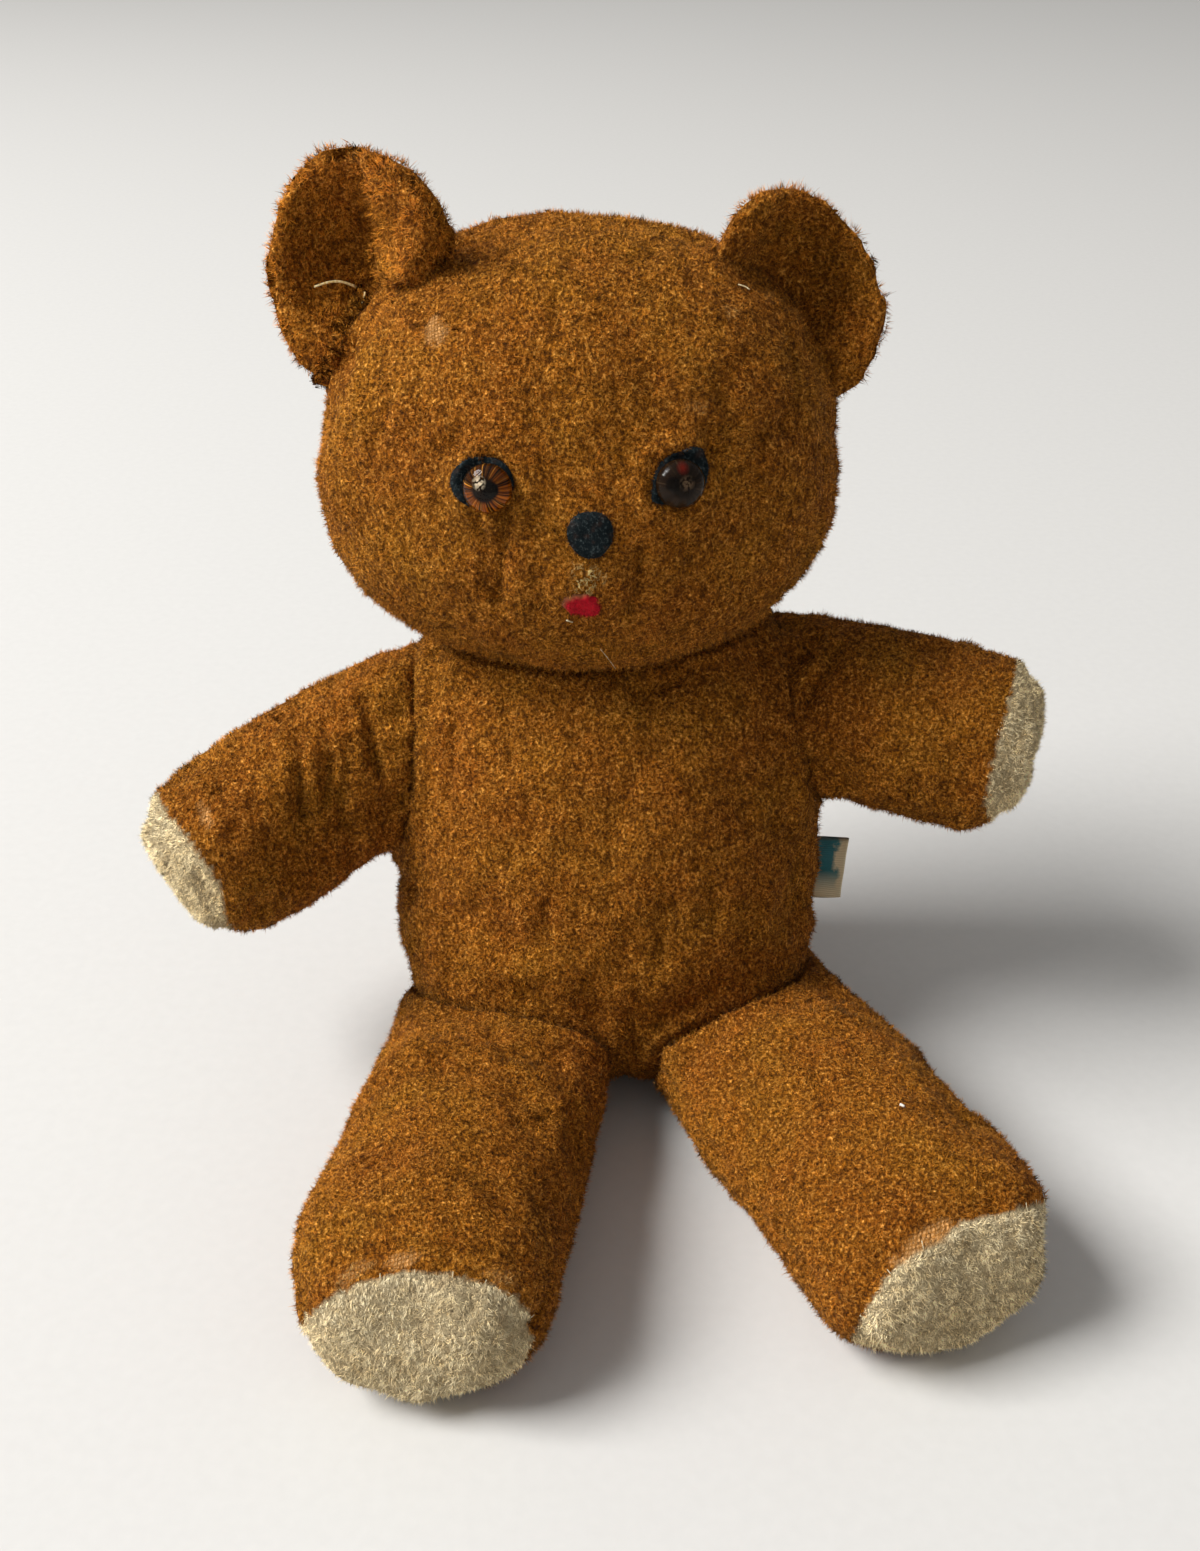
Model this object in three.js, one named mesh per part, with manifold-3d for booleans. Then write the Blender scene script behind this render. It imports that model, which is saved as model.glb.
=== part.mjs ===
// A threadbare, unjointed teddy bear that sits with its legs out in front and leans back a little.
// Millimetres, +Z up, the face towards -Y. Left and right are the bear's own.
// Each stuffed member is a cut plush cover, closed by its pads, around a core of stuffing.

import * as THREE from "three";
import { mergeVertices } from "three/addons/utils/BufferGeometryUtils.js";
import Module from "manifold-3d";

const wasm = await Module();
wasm.setup();

// Cloth and fits
const plush = 3; // plush cloth, with its pile lying flat
const felt = 1.6; // felt of the nose, the mouth and the eye backs
const clearance = 0.3; // between pieces that touch

// Stuffed members: full sizes in their own frames, with the length along the member
const torso = {
  width: 140, depth: 102, length: 168, girthPower: 2.5, endPower: 3, taper: -0.02, depthTaper: -0.08,
};
const head = {
  width: 152, depth: 112, length: 127, girthPower: 2.2, endPower: 2.35, taper: -0.07, depthTaper: -0.07,
};
const arm = {
  width: 60, depth: 54, length: 114, girthPower: 2.2, endPower: 4.2, taper: 0.04, depthTaper: 0.04,
};
const leg = {
  width: 79, depth: 52, length: 172, girthPower: 2.4, endPower: 4.8, taper: 0.01, depthTaper: 0.26,
};
const muzzle = { height: 7, width: 27, length: 26, below: 20, fade: 2 }; // a low swell round nose and mouth

// How the torso and head lie, with angles in degrees
const torsoLean = 13; // back from upright
const torsoSink = 5; // how much of the torso's end is pressed flat by the seat
const neckOverlap = 20; // how far the head sits down into the top of the torso
const headShift = { x: -8, y: -7 };
const headLean = 1; // back from upright
const headRoll = -0.6; // over to the bear's left
const headTurn = 2; // towards the bear's left

// Limbs and ears are set in from the side and down from the top of what carries them
const shoulder = {
  left: { inFromSide: 10, downFromTop: 43, back: -4, buried: 38, aim: [0.93, -0.3, -0.05] },
  right: { inFromSide: 10, downFromTop: 50, back: -4, buried: 22, aim: [-0.78, -0.5, -0.32] },
};
const hip = {
  left: { inFromSide: 41, back: 20, height: 18, splay: 23, rise: 4 },
  right: { inFromSide: 44, back: 15, height: 18, splay: -9, rise: 4 },
};
const earPlace = {
  left: { inFromSide: 20, downFromTop: 25.5, back: 4, facing: [0.3, -0.85, 0.1], top: [-0.33, 0, 0.94] },
  right: { inFromSide: 17, downFromTop: 13.5, back: 2, facing: [-0.2, -0.9, 0.1], top: [0.1, 0, 1] },
};

// Pads, ears, face and label
const handPadEdge = 0.62; // radians from the paw's middle out to the pad's seam, along the stuffed form
const footPadEdge = 0.6;
const ear = { width: 50, height: 66, cup: 12 };
const eye = { apart: 48.5, height: 8, lens: 13, rim: 1, dome: 4, disc: 12, discThickness: 1.2 };
const eyeBack = { width: 18, height: 13.5 };
const shank = { diameter: 3.2, length: 13 };
const washer = { diameter: 13, thickness: 1.4, set: 1.2 };
const nose = { width: 12.4, height: 12.4, aside: 1.5, below: 3.4 };
const mouth = { width: 9, height: 6.4, aside: -1, below: 25 };
const label = { width: 23, reach: 8, thickness: 0.5, fold: 0.9, below: 28 };

// Mesh steps
const girthSteps = 24;
const lengthSteps = 12;
const limbGirthSteps = 16;
const limbLengthSteps = 8;
const padSteps = 3;
const roundSteps = 16;
const feltSteps = 2;
const earSteps = 3;
const domeSteps = 4;
const foldSteps = 4;

const degrees = THREE.MathUtils.degToRad;
const halfTurn = Math.PI;
const fullTurn = 2 * Math.PI;
const tip = Math.PI / 2; // the end of a stuffed form, as an angle along it

// Materials
const finish = (color, roughness) => new THREE.MeshStandardMaterial({ color, roughness, metalness: 0 });
const brownPlush = finish("#8a5218", 0.95);
const creamPlush = finish("#c3ab7c", 0.95);
const blackFelt = finish("#182022", 0.95);
const redFelt = finish("#a3141a", 0.95);
const wadding = finish("#d9cfb8", 0.95);
const tape = finish("#d8c79a", 0.8);
const amber = finish("#6b2f0c", 0.3);
const clearPlastic = new THREE.MeshStandardMaterial({
  color: "#f2e6d2", roughness: 0.08, metalness: 0, transparent: true, opacity: 0.35,
});
const whitePlastic = finish("#e6e0d0", 0.5);

// Solids: closed meshes that can be cut, and back again
function solidOf(geometry) {
  const bare = geometry.clone();
  bare.deleteAttribute("normal");
  bare.deleteAttribute("uv");
  const merged = mergeVertices(bare, 1e-3);
  const corners = merged.index.array;
  const kept = [];
  for (let i = 0; i < corners.length; i += 3) {
    const [a, b, c] = corners.subarray(i, i + 3);
    if (a !== b && b !== c && c !== a) kept.push(a, b, c);
  }
  return new wasm.Manifold(
    new wasm.Mesh({
      numProp: 3,
      vertProperties: merged.getAttribute("position").array,
      triVerts: new Uint32Array(kept),
    }),
  );
}

function geometryOf(solid) {
  const mesh = solid.getMesh();
  return new THREE.BufferGeometry()
    .setAttribute("position", new THREE.BufferAttribute(new Float32Array(mesh.vertProperties), 3))
    .setIndex(new THREE.BufferAttribute(new Uint32Array(mesh.triVerts), 1));
}

// The angles from one to another, in equal steps
function steps(from, to, count) {
  return Array.from({ length: count + 1 }, (_, i) => from + ((to - from) * i) / count);
}

const fullRound = (count) => steps(0, fullTurn, count).slice(0, count);

// A solid sheet between two surfaces of (round, along), at lists of angles. A closed one meets itself.
function sheet(outer, inner, rounds, alongs, closed) {
  const columns = rounds.length;
  const spans = closed ? columns : columns - 1;
  const last = alongs.length - 1;
  const points = [];
  for (const surface of [outer, inner])
    for (const along of alongs)
      for (const round of rounds) points.push(...surface(round, along).toArray());
  const at = (layer, i, j) => (layer * alongs.length + j) * columns + (i % columns);
  const corners = [];
  const quad = (a, b, c, d) => corners.push(a, b, c, a, c, d);
  for (let j = 0; j < last; j++)
    for (let i = 0; i < spans; i++) {
      quad(at(0, i, j), at(0, i + 1, j), at(0, i + 1, j + 1), at(0, i, j + 1));
      quad(at(1, i, j), at(1, i, j + 1), at(1, i + 1, j + 1), at(1, i + 1, j));
    }
  for (let i = 0; i < spans; i++) {
    quad(at(0, i, 0), at(1, i, 0), at(1, i + 1, 0), at(0, i + 1, 0));
    quad(at(0, i, last), at(0, i + 1, last), at(1, i + 1, last), at(1, i, last));
  }
  for (let j = 0; j < last && !closed; j++) {
    quad(at(0, 0, j), at(0, 0, j + 1), at(1, 0, j + 1), at(1, 0, j));
    quad(at(0, spans, j), at(1, spans, j), at(1, spans, j + 1), at(0, spans, j + 1));
  }
  return new THREE.BufferGeometry()
    .setAttribute("position", new THREE.Float32BufferAttribute(points, 3))
    .setIndex(corners);
}

// The whole inside of a surface that closes at both tips
function core(surface, rounds, alongs) {
  const columns = rounds.length;
  const points = [];
  for (const along of alongs) for (const round of rounds) points.push(...surface(round, along).toArray());
  const at = (i, j) => j * columns + (i % columns);
  const corners = [];
  for (let j = 0; j + 1 < alongs.length; j++)
    for (let i = 0; i < columns; i++)
      corners.push(at(i, j), at(i + 1, j), at(i + 1, j + 1), at(i, j), at(i + 1, j + 1), at(i, j + 1));
  return new THREE.BufferGeometry()
    .setAttribute("position", new THREE.Float32BufferAttribute(points, 3))
    .setIndex(corners);
}

// A stuffed form: a superellipsoid along its own Z, drawn in by inset all over
const squared = (value, power) => Math.sign(value) * Math.abs(value) ** (2 / power);

function stuffed({ width, depth, length, girthPower, endPower, taper, depthTaper }, inset) {
  return (round, along) => {
    const rise = squared(Math.sin(along), endPower);
    const ring = Math.max(squared(Math.cos(along), endPower), 0);
    return new THREE.Vector3(
      (width / 2 - inset) * ring * (1 + taper * rise) * squared(Math.cos(round), girthPower),
      (depth / 2 - inset) * ring * (1 + depthTaper * rise) * squared(Math.sin(round), girthPower),
      (length / 2 - inset) * rise,
    );
  };
}

// Groups: a member is placed by where it is and where its own Z points, with its own Y turned towards back
const bear = new THREE.Group();
const seated = new THREE.Group();
bear.add(seated);

function member(parent, position, aim, back) {
  const z = new THREE.Vector3(...aim).normalize();
  const x = new THREE.Vector3(...back).cross(z).normalize();
  const y = z.clone().cross(x);
  const group = new THREE.Group();
  group.position.set(...position);
  group.quaternion.setFromRotationMatrix(new THREE.Matrix4().makeBasis(x, y, z));
  parent.add(group);
  group.updateWorldMatrix(true, false);
  return group;
}

function addPiece(group, name, solid, material) {
  const piece = new THREE.Mesh(geometryOf(solid), material.clone());
  piece.name = name;
  group.add(piece);
}

// One member's solid, seen from another member's frame
function seenFrom(group, geometry, owner) {
  const across = group.matrixWorld.clone().invert().multiply(owner.matrixWorld);
  return solidOf(geometry.clone().applyMatrix4(across));
}

// The surface pressed flat where it would go below a height above the seat
function pressed(surface, group, height) {
  const back = group.matrixWorld.clone().invert();
  return (round, along) => {
    const point = surface(round, along).applyMatrix4(group.matrixWorld);
    point.z = Math.max(point.z, height);
    return point.applyMatrix4(back);
  };
}

// The back and front halves of a girth, each short of the side seams by half a clearance
function halves(width, count) {
  const gap = clearance / width;
  const back = steps(gap, halfTurn - gap, count / 2);
  return { back, front: back.map((round) => round + halfTurn) };
}

// The two lengths of a limb: its cover, and the pad that closes the tip
function lengths(limb, padEdge) {
  const gap = clearance / limb.width;
  const edge = tip - padEdge;
  return { cover: steps(-tip, edge - gap, limbLengthSteps), pad: steps(edge + gap, tip, padSteps) };
}

// Where the torso and the head lie
const sides = { left: 1, right: -1 };
const lean = degrees(torsoLean);
const torsoUp = new THREE.Vector3(0, Math.sin(lean), Math.cos(lean));
const torsoMiddle = torsoUp.clone().multiplyScalar(torso.length / 2 - torsoSink);
const torsoGroup = member(seated, torsoMiddle.toArray(), torsoUp.toArray(), [0, 1, 0]);

const neck = torsoUp.clone().multiplyScalar(torso.length - torsoSink - neckOverlap);
const headAim = [Math.sin(degrees(headRoll)), Math.sin(degrees(headLean)), Math.cos(degrees(headLean))];
const headPlace = [neck.x + headShift.x, neck.y + headShift.y, neck.z + head.length / 2];
const headGroup = member(seated, headPlace, headAim, [-Math.sin(degrees(headTurn)), 1, 0]);

// Head: a face panel and a back panel, seamed at the sides
const swell = (x, z) =>
  muzzle.height * Math.exp(-((x / muzzle.width) ** 2) - ((z + muzzle.below) / muzzle.length) ** 2);

function headForm(inset) {
  const plain = stuffed(head, inset);
  return (round, along) => {
    const point = plain(round, along);
    const facing = Math.max(0, -Math.sin(round)) * Math.max(0, Math.cos(along));
    point.y -= swell(point.x, point.z) * Math.min(1, muzzle.fade * facing);
    return point;
  };
}

// How far forward the face is at (x, z)
function faceFront(x, z) {
  const rise = z / (head.length / 2);
  const ring = (1 - Math.abs(rise) ** head.endPower) ** (1 / head.endPower);
  const side = Math.abs(x) / (ring * (1 + head.taper * rise) * (head.width / 2));
  const bulge = (1 - side ** head.girthPower) ** (1 / head.girthPower);
  const depth = (head.depth / 2) * ring * (1 + head.depthTaper * rise) * bulge;
  return -depth - swell(x, z);
}

const headGirth = halves(head.width, girthSteps);
const headRounds = [...headGirth.back, ...headGirth.front];
const bodyAlongs = steps(-tip, tip, lengthSteps);
const headGrown = core(headForm(-clearance), headRounds, bodyAlongs);

// A felt piece that lies on the face: the outline gives its reach from the middle at each angle
function feltOnFace(x, z, outline) {
  const layer = (height) => (angle, inward) => {
    const reach = outline(angle) * (1 - inward);
    const px = x + reach * Math.cos(angle);
    const pz = z + reach * Math.sin(angle);
    return new THREE.Vector3(px, faceFront(px, pz) - height, pz);
  };
  const rings = steps(0, 1, feltSteps);
  return solidOf(sheet(layer(clearance + felt), layer(clearance), fullRound(roundSteps), rings, true));
}

const ellipse = (width, height) => (angle) =>
  (width * height) / 2 / Math.hypot(height * Math.cos(angle), width * Math.sin(angle));

// Eyes: a felt back, a disc on a shank, a clear dome over it and a lock washer inside the face
function lathe(profile) {
  const points = profile.map(([radius, height]) => new THREE.Vector2(radius, height));
  return new THREE.LatheGeometry(points, roundSteps).rotateX(Math.PI / 2);
}

function buttonProfile(grow) {
  const back = felt + 2 * clearance;
  const stem = shank.diameter / 2 + grow;
  const rim = eye.disc / 2 + grow;
  return [
    [0, back - shank.length - grow],
    [stem, back - shank.length - grow],
    [stem, back - grow],
    [rim, back - grow],
    [rim, back + eye.discThickness],
    [0, back + eye.discThickness],
  ];
}

function lensProfile() {
  const base = felt + eye.discThickness + 3 * clearance;
  const radius = eye.lens / 2;
  const dome = steps(0, tip, domeSteps).map((angle) => [
    radius * Math.cos(angle),
    base + eye.rim + eye.dome * Math.sin(angle),
  ]);
  return [[0, base], [radius, base], ...dome];
}

function washerProfile(grow) {
  const far = -plush - washer.set;
  const near = far - washer.thickness - grow;
  const hole = shank.diameter / 2 + clearance - grow;
  const rim = washer.diameter / 2 + grow;
  return [[hole, near], [rim, near], [rim, far + grow], [hole, far + grow], [hole, near]];
}

function eyeGroupAt(side) {
  const x = (side * eye.apart) / 2;
  const step = 1;
  const here = faceFront(x, eye.height);
  const slopeX = (faceFront(x + step, eye.height) - here) / step;
  const slopeZ = (faceFront(x, eye.height + step) - here) / step;
  const group = new THREE.Group();
  group.position.set(x, here, eye.height);
  const outward = new THREE.Vector3(slopeX, -1, slopeZ).normalize();
  group.quaternion.setFromUnitVectors(new THREE.Vector3(0, 0, 1), outward);
  headGroup.add(group);
  group.updateWorldMatrix(true, false);
  return group;
}

let facePanel = solidOf(sheet(headForm(0), headForm(plush), headGirth.front, bodyAlongs, false));
const headBack = solidOf(sheet(headForm(0), headForm(plush), headGirth.back, bodyAlongs, false));
let headStuffing = solidOf(core(headForm(plush + clearance), headRounds, bodyAlongs));

for (const [name, side] of Object.entries(sides)) {
  const group = eyeGroupAt(side);
  const button = lathe(buttonProfile(0));
  const holed = seenFrom(headGroup, lathe(buttonProfile(clearance)), group);
  const seat = seenFrom(headGroup, lathe(washerProfile(clearance)), group);
  const outline = ellipse(eyeBack.width, eyeBack.height);
  const back = feltOnFace((side * eye.apart) / 2, eye.height, outline).subtract(holed);
  facePanel = facePanel.subtract(holed);
  headStuffing = headStuffing.subtract(holed).subtract(seat);
  addPiece(headGroup, `${name}_eye_felt`, back, blackFelt);
  addPiece(group, `${name}_eye_button`, solidOf(button), amber);
  addPiece(group, `${name}_eye_lens`, solidOf(lathe(lensProfile())), clearPlastic);
  addPiece(group, `${name}_eye_washer`, solidOf(lathe(washerProfile(0))), whitePlastic);
}

addPiece(headGroup, "head_face_panel", facePanel, brownPlush);
addPiece(headGroup, "head_back_panel", headBack, brownPlush);
addPiece(headGroup, "head_stuffing", headStuffing, wadding);
const noseFelt = feltOnFace(nose.aside, -nose.below, ellipse(nose.width, nose.height));
addPiece(headGroup, "nose_felt", noseFelt, blackFelt);
const mouthFelt = feltOnFace(mouth.aside, -mouth.below, ellipse(mouth.width, mouth.height));
addPiece(headGroup, "mouth_felt", mouthFelt, redFelt);

// Ears: two cupped discs of plush, back to back, sewn into the head's side seam
function earLayer(height) {
  return (angle, inward) => {
    const reach = 1 - inward;
    const x = (ear.width / 2) * reach * Math.cos(angle);
    const y = (ear.height / 2) * reach * Math.sin(angle);
    return new THREE.Vector3(x, y, height + ear.cup * reach ** 2);
  };
}

for (const [name, side] of Object.entries(sides)) {
  const { inFromSide, downFromTop, back, facing, top } = earPlace[name];
  const place = [side * (head.width / 2 - inFromSide), back, head.length / 2 - downFromTop];
  const group = member(headGroup, place, facing, top);
  const cutter = seenFrom(group, headGrown, headGroup);
  const rounds = fullRound(roundSteps);
  const rings = steps(0, 1, earSteps);
  const layer = (from, to) => solidOf(sheet(earLayer(to), earLayer(from), rounds, rings, true));
  const halfGap = clearance / 2;
  addPiece(group, `${name}_ear_front`, layer(halfGap, plush).subtract(cutter), brownPlush);
  addPiece(group, `${name}_ear_back`, layer(-plush, -halfGap).subtract(cutter), brownPlush);
}

// Torso: a belly panel and a back panel, seamed at the sides and pressed flat where the bear sits
const torsoForm = (inset) => pressed(stuffed(torso, inset), torsoGroup, Math.max(inset, 0));
const headInTorso = seenFrom(torsoGroup, headGrown, headGroup);
const torsoGirth = halves(torso.width, girthSteps);
const torsoRounds = [...torsoGirth.back, ...torsoGirth.front];
const torsoHalf = (rounds) => solidOf(sheet(torsoForm(0), torsoForm(plush), rounds, bodyAlongs, false));
addPiece(torsoGroup, "torso_belly_panel", torsoHalf(torsoGirth.front).subtract(headInTorso), brownPlush);
addPiece(torsoGroup, "torso_back_panel", torsoHalf(torsoGirth.back).subtract(headInTorso), brownPlush);
const torsoStuffing = solidOf(core(torsoForm(plush + clearance), torsoRounds, bodyAlongs));
addPiece(torsoGroup, "torso_stuffing", torsoStuffing.subtract(headInTorso), wadding);
const torsoGrown = core(torsoForm(-clearance), torsoRounds, bodyAlongs);

// Arms: one folded tube of plush each, closed by a pad at the paw
for (const [name, side] of Object.entries(sides)) {
  const { inFromSide, downFromTop, back, buried } = shoulder[name];
  const aim = new THREE.Vector3(...shoulder[name].aim).normalize();
  const root = new THREE.Vector3(side * (torso.width / 2 - inFromSide), back, torso.length / 2 - downFromTop);
  const middle = root.applyMatrix4(torsoGroup.matrix).addScaledVector(aim, arm.length / 2 - buried);
  const group = member(seated, middle.toArray(), aim.toArray(), [0, 1, 0]);
  const cutter = seenFrom(group, torsoGrown, torsoGroup).add(seenFrom(group, headGrown, headGroup));
  const { cover, pad } = lengths(arm, handPadEdge);
  const rounds = fullRound(limbGirthSteps);
  const form = (inset) => stuffed(arm, inset);
  const tube = solidOf(sheet(form(0), form(plush), rounds, cover, true));
  const stuffing = solidOf(core(form(plush + clearance), rounds, [...cover, ...pad]));
  const cap = solidOf(sheet(form(0), form(plush), rounds, pad, true));
  addPiece(group, `${name}_arm_cover`, tube.subtract(cutter), brownPlush);
  addPiece(group, `${name}_arm_stuffing`, stuffing.subtract(cutter), wadding);
  addPiece(group, `${name}_hand_pad`, cap, creamPlush);
}

// Legs: a top and an under panel each, seamed at the sides and closed by a pad at the sole
for (const [name, side] of Object.entries(sides)) {
  const { inFromSide, back, height } = hip[name];
  const splay = degrees(hip[name].splay);
  const aim = new THREE.Vector3(Math.sin(splay), -Math.cos(splay), Math.tan(degrees(hip[name].rise)));
  const root = new THREE.Vector3(side * (torso.width / 2 - inFromSide), back, height);
  const middle = root.addScaledVector(aim.normalize(), leg.length / 2);
  const group = member(seated, middle.toArray(), aim.toArray(), [0, 0, 1]);
  const cutter = seenFrom(group, torsoGrown, torsoGroup);
  const { cover, pad } = lengths(leg, footPadEdge);
  const girth = halves(leg.width, limbGirthSteps);
  const rounds = [...girth.back, ...girth.front];
  const form = (inset) => pressed(stuffed(leg, inset), group, Math.max(inset, 0));
  const half = (arc) => solidOf(sheet(form(0), form(plush), arc, cover, false)).subtract(cutter);
  const stuffing = solidOf(core(form(plush + clearance), rounds, [...cover, ...pad]));
  const cap = solidOf(sheet(form(0), form(plush), rounds, pad, true));
  addPiece(group, `${name}_leg_top_panel`, half(girth.back), brownPlush);
  addPiece(group, `${name}_leg_under_panel`, half(girth.front), brownPlush);
  addPiece(group, `${name}_leg_stuffing`, stuffing.subtract(cutter), wadding);
  addPiece(group, `${name}_foot_pad`, cap, creamPlush);
}

// Label: a tape folded in two, its ends caught in the torso's left side seam
const hairpin = new THREE.Shape();
const outerHalf = label.fold / 2 + label.thickness;
hairpin.moveTo(-label.reach, -outerHalf);
hairpin.lineTo(label.reach, -outerHalf);
hairpin.absarc(label.reach, 0, outerHalf, -Math.PI / 2, Math.PI / 2, false);
hairpin.lineTo(-label.reach, outerHalf);
hairpin.lineTo(-label.reach, label.fold / 2);
hairpin.lineTo(label.reach, label.fold / 2);
hairpin.absarc(label.reach, 0, label.fold / 2, Math.PI / 2, -Math.PI / 2, true);
hairpin.lineTo(-label.reach, -label.fold / 2);
hairpin.closePath();
const labelTape = new THREE.ExtrudeGeometry(hairpin, {
  depth: label.width,
  bevelEnabled: false,
  curveSegments: foldSteps,
});
const labelGroup = member(torsoGroup, [torso.width / 2, 0, -label.below], [0, 0, 1], [0, 1, 0]);
const sideCutter = seenFrom(labelGroup, torsoGrown, torsoGroup);
addPiece(labelGroup, "side_label", solidOf(labelTape).subtract(sideCutter), tape);

// The origin is under the middle of the whole bear, on the surface that it sits on
const box = new THREE.Box3().setFromObject(seated, true);
const middle = box.getCenter(new THREE.Vector3());
seated.position.set(-middle.x, -middle.y, -box.min.z);

export default bear;
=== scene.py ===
import math

import bpy
import numpy as np
from mathutils import Matrix, Vector
from mathutils.bvhtree import BVHTree


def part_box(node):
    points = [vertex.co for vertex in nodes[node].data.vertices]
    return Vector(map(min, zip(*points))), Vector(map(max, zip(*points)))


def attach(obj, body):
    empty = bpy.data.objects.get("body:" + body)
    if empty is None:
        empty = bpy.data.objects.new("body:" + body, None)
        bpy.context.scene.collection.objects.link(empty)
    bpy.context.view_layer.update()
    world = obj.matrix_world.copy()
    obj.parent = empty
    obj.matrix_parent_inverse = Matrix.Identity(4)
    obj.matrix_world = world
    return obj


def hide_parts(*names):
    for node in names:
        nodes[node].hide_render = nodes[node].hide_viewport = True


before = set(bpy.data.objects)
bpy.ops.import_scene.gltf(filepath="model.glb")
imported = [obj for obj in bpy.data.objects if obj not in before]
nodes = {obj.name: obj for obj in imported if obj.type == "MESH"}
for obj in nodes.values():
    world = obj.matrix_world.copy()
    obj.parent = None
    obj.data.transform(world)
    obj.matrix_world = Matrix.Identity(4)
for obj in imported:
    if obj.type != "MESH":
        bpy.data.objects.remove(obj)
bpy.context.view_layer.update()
scene = bpy.context.scene
dice = np.random.default_rng(1907)
mm = 0.001


# one sRGB hex value to linear light
def linear(hexColour):
    parts = [int(hexColour[i:i + 2], 16) / 255 for i in (1, 3, 5)]
    return tuple(c / 12.92 if c <= 0.04045 else ((c + 0.055) / 1.055) ** 2.4 for c in parts) + (1.0,)


# one node, with its fixed inputs, its links and its settings
def addNode(tree, kind, values=None, links=None, **settings):
    node = tree.nodes.new(kind)
    for name, value in settings.items():
        setattr(node, name, value)
    for socket, value in (values or {}).items():
        node.inputs[socket].default_value = value
    for socket, source in (links or {}).items():
        tree.links.new(source, node.inputs[socket])
    return node


def startMaterial(name):
    material = bpy.data.materials.new(name)
    material.use_nodes = True
    material.node_tree.nodes.clear()
    return material, material.node_tree


# the nodes that materials use most: each takes sockets, numbers or hex colours and gives back its output
def objectPlace(tree):
    return addNode(tree, "ShaderNodeTexCoord").outputs["Object"]


def attribute(tree, name):
    return addNode(tree, "ShaderNodeAttribute", attribute_name=name).outputs["Fac"]


def noise(tree, place, size, detail, rough=0.5):
    return addNode(tree, "ShaderNodeTexNoise", {"Scale": 1 / size, "Detail": detail, "Roughness": rough},
                   {"Vector": place}).outputs["Fac"]


# threads side by side; a wave texture takes a scale of 0.314 for each thread's width
def waves(tree, place, size, way, values):
    return addNode(tree, "ShaderNodeTexWave", {"Scale": 0.314 / size, **values}, {"Vector": place},
                   bands_direction=way).outputs["Fac"]


def mapped(tree, place, **values):
    return addNode(tree, "ShaderNodeMapping", values, {"Vector": place}).outputs[0]


def ranged(tree, value, low, high, first=0.0, last=1.0):
    return addNode(tree, "ShaderNodeMapRange", {1: low, 2: high, 3: first, 4: last}, {0: value}).outputs[0]


def blend(tree, share, first, second):
    values, links = {}, {}
    for socket, given in ((0, share), (6, first), (7, second)):
        if isinstance(given, str):
            values[socket] = linear(given)
        elif isinstance(given, float):
            values[socket] = given
        else:
            links[socket] = given
    return addNode(tree, "ShaderNodeMix", values, links, data_type="RGBA").outputs[2]


def maths(tree, operation, first, second):
    if isinstance(second, float):
        return addNode(tree, "ShaderNodeMath", {1: second}, {0: first}, operation=operation).outputs[0]
    return addNode(tree, "ShaderNodeMath", None, {0: first, 1: second}, operation=operation).outputs[0]


def times(tree, first, second):
    return maths(tree, "MULTIPLY", first, second)


def scaled(tree, colour, share):
    return addNode(tree, "ShaderNodeVectorMath", None, {0: colour, "Scale": share}, operation="SCALE").outputs[0]


def bumped(tree, height, strength, distance, normal=None):
    links = {"Height": height} if normal is None else {"Height": height, "Normal": normal}
    return addNode(tree, "ShaderNodeBump", {"Strength": strength, "Distance": distance}, links).outputs[0]


# the surface that the light meets, which ends a material
def finished(tree, values, colour, normal=None):
    links = {"Base Color": colour} if normal is None else {"Base Color": colour, "Normal": normal}
    shader = addNode(tree, "ShaderNodeBsdfPrincipled", values, links)
    addNode(tree, "ShaderNodeOutputMaterial", None, {"Surface": shader.outputs[0]})


# camera
camera = {
    "target": (0.00172, 0.02038, 0.11618),
    "distance": 0.490,
    "elevation": 32.0,
    "fieldOfView": 50.0,   # across the long side
    "photoSize": (1200, 1551),
}
rise = math.radians(camera["elevation"])
cameraPlace = Vector(camera["target"]) + camera["distance"] * Vector((0, -math.cos(rise), math.sin(rise)))
cameraTurn = (Vector(camera["target"]) - cameraPlace).to_track_quat("-Z", "Y")
cameraData = bpy.data.cameras.new("photoCamera")
cameraData.sensor_width = 36
cameraData.lens = 18 / math.tan(math.radians(camera["fieldOfView"] / 2))
cameraData.clip_start = 0.01
cameraObject = bpy.data.objects.new("photoCamera", cameraData)
cameraObject.location = cameraPlace
cameraObject.rotation_mode = "QUATERNION"
cameraObject.rotation_quaternion = cameraTurn
scene.collection.objects.link(cameraObject)
scene.camera = cameraObject
focalPixels = camera["photoSize"][1] / 2 / math.tan(math.radians(camera["fieldOfView"] / 2))
print("camera set")


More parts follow.
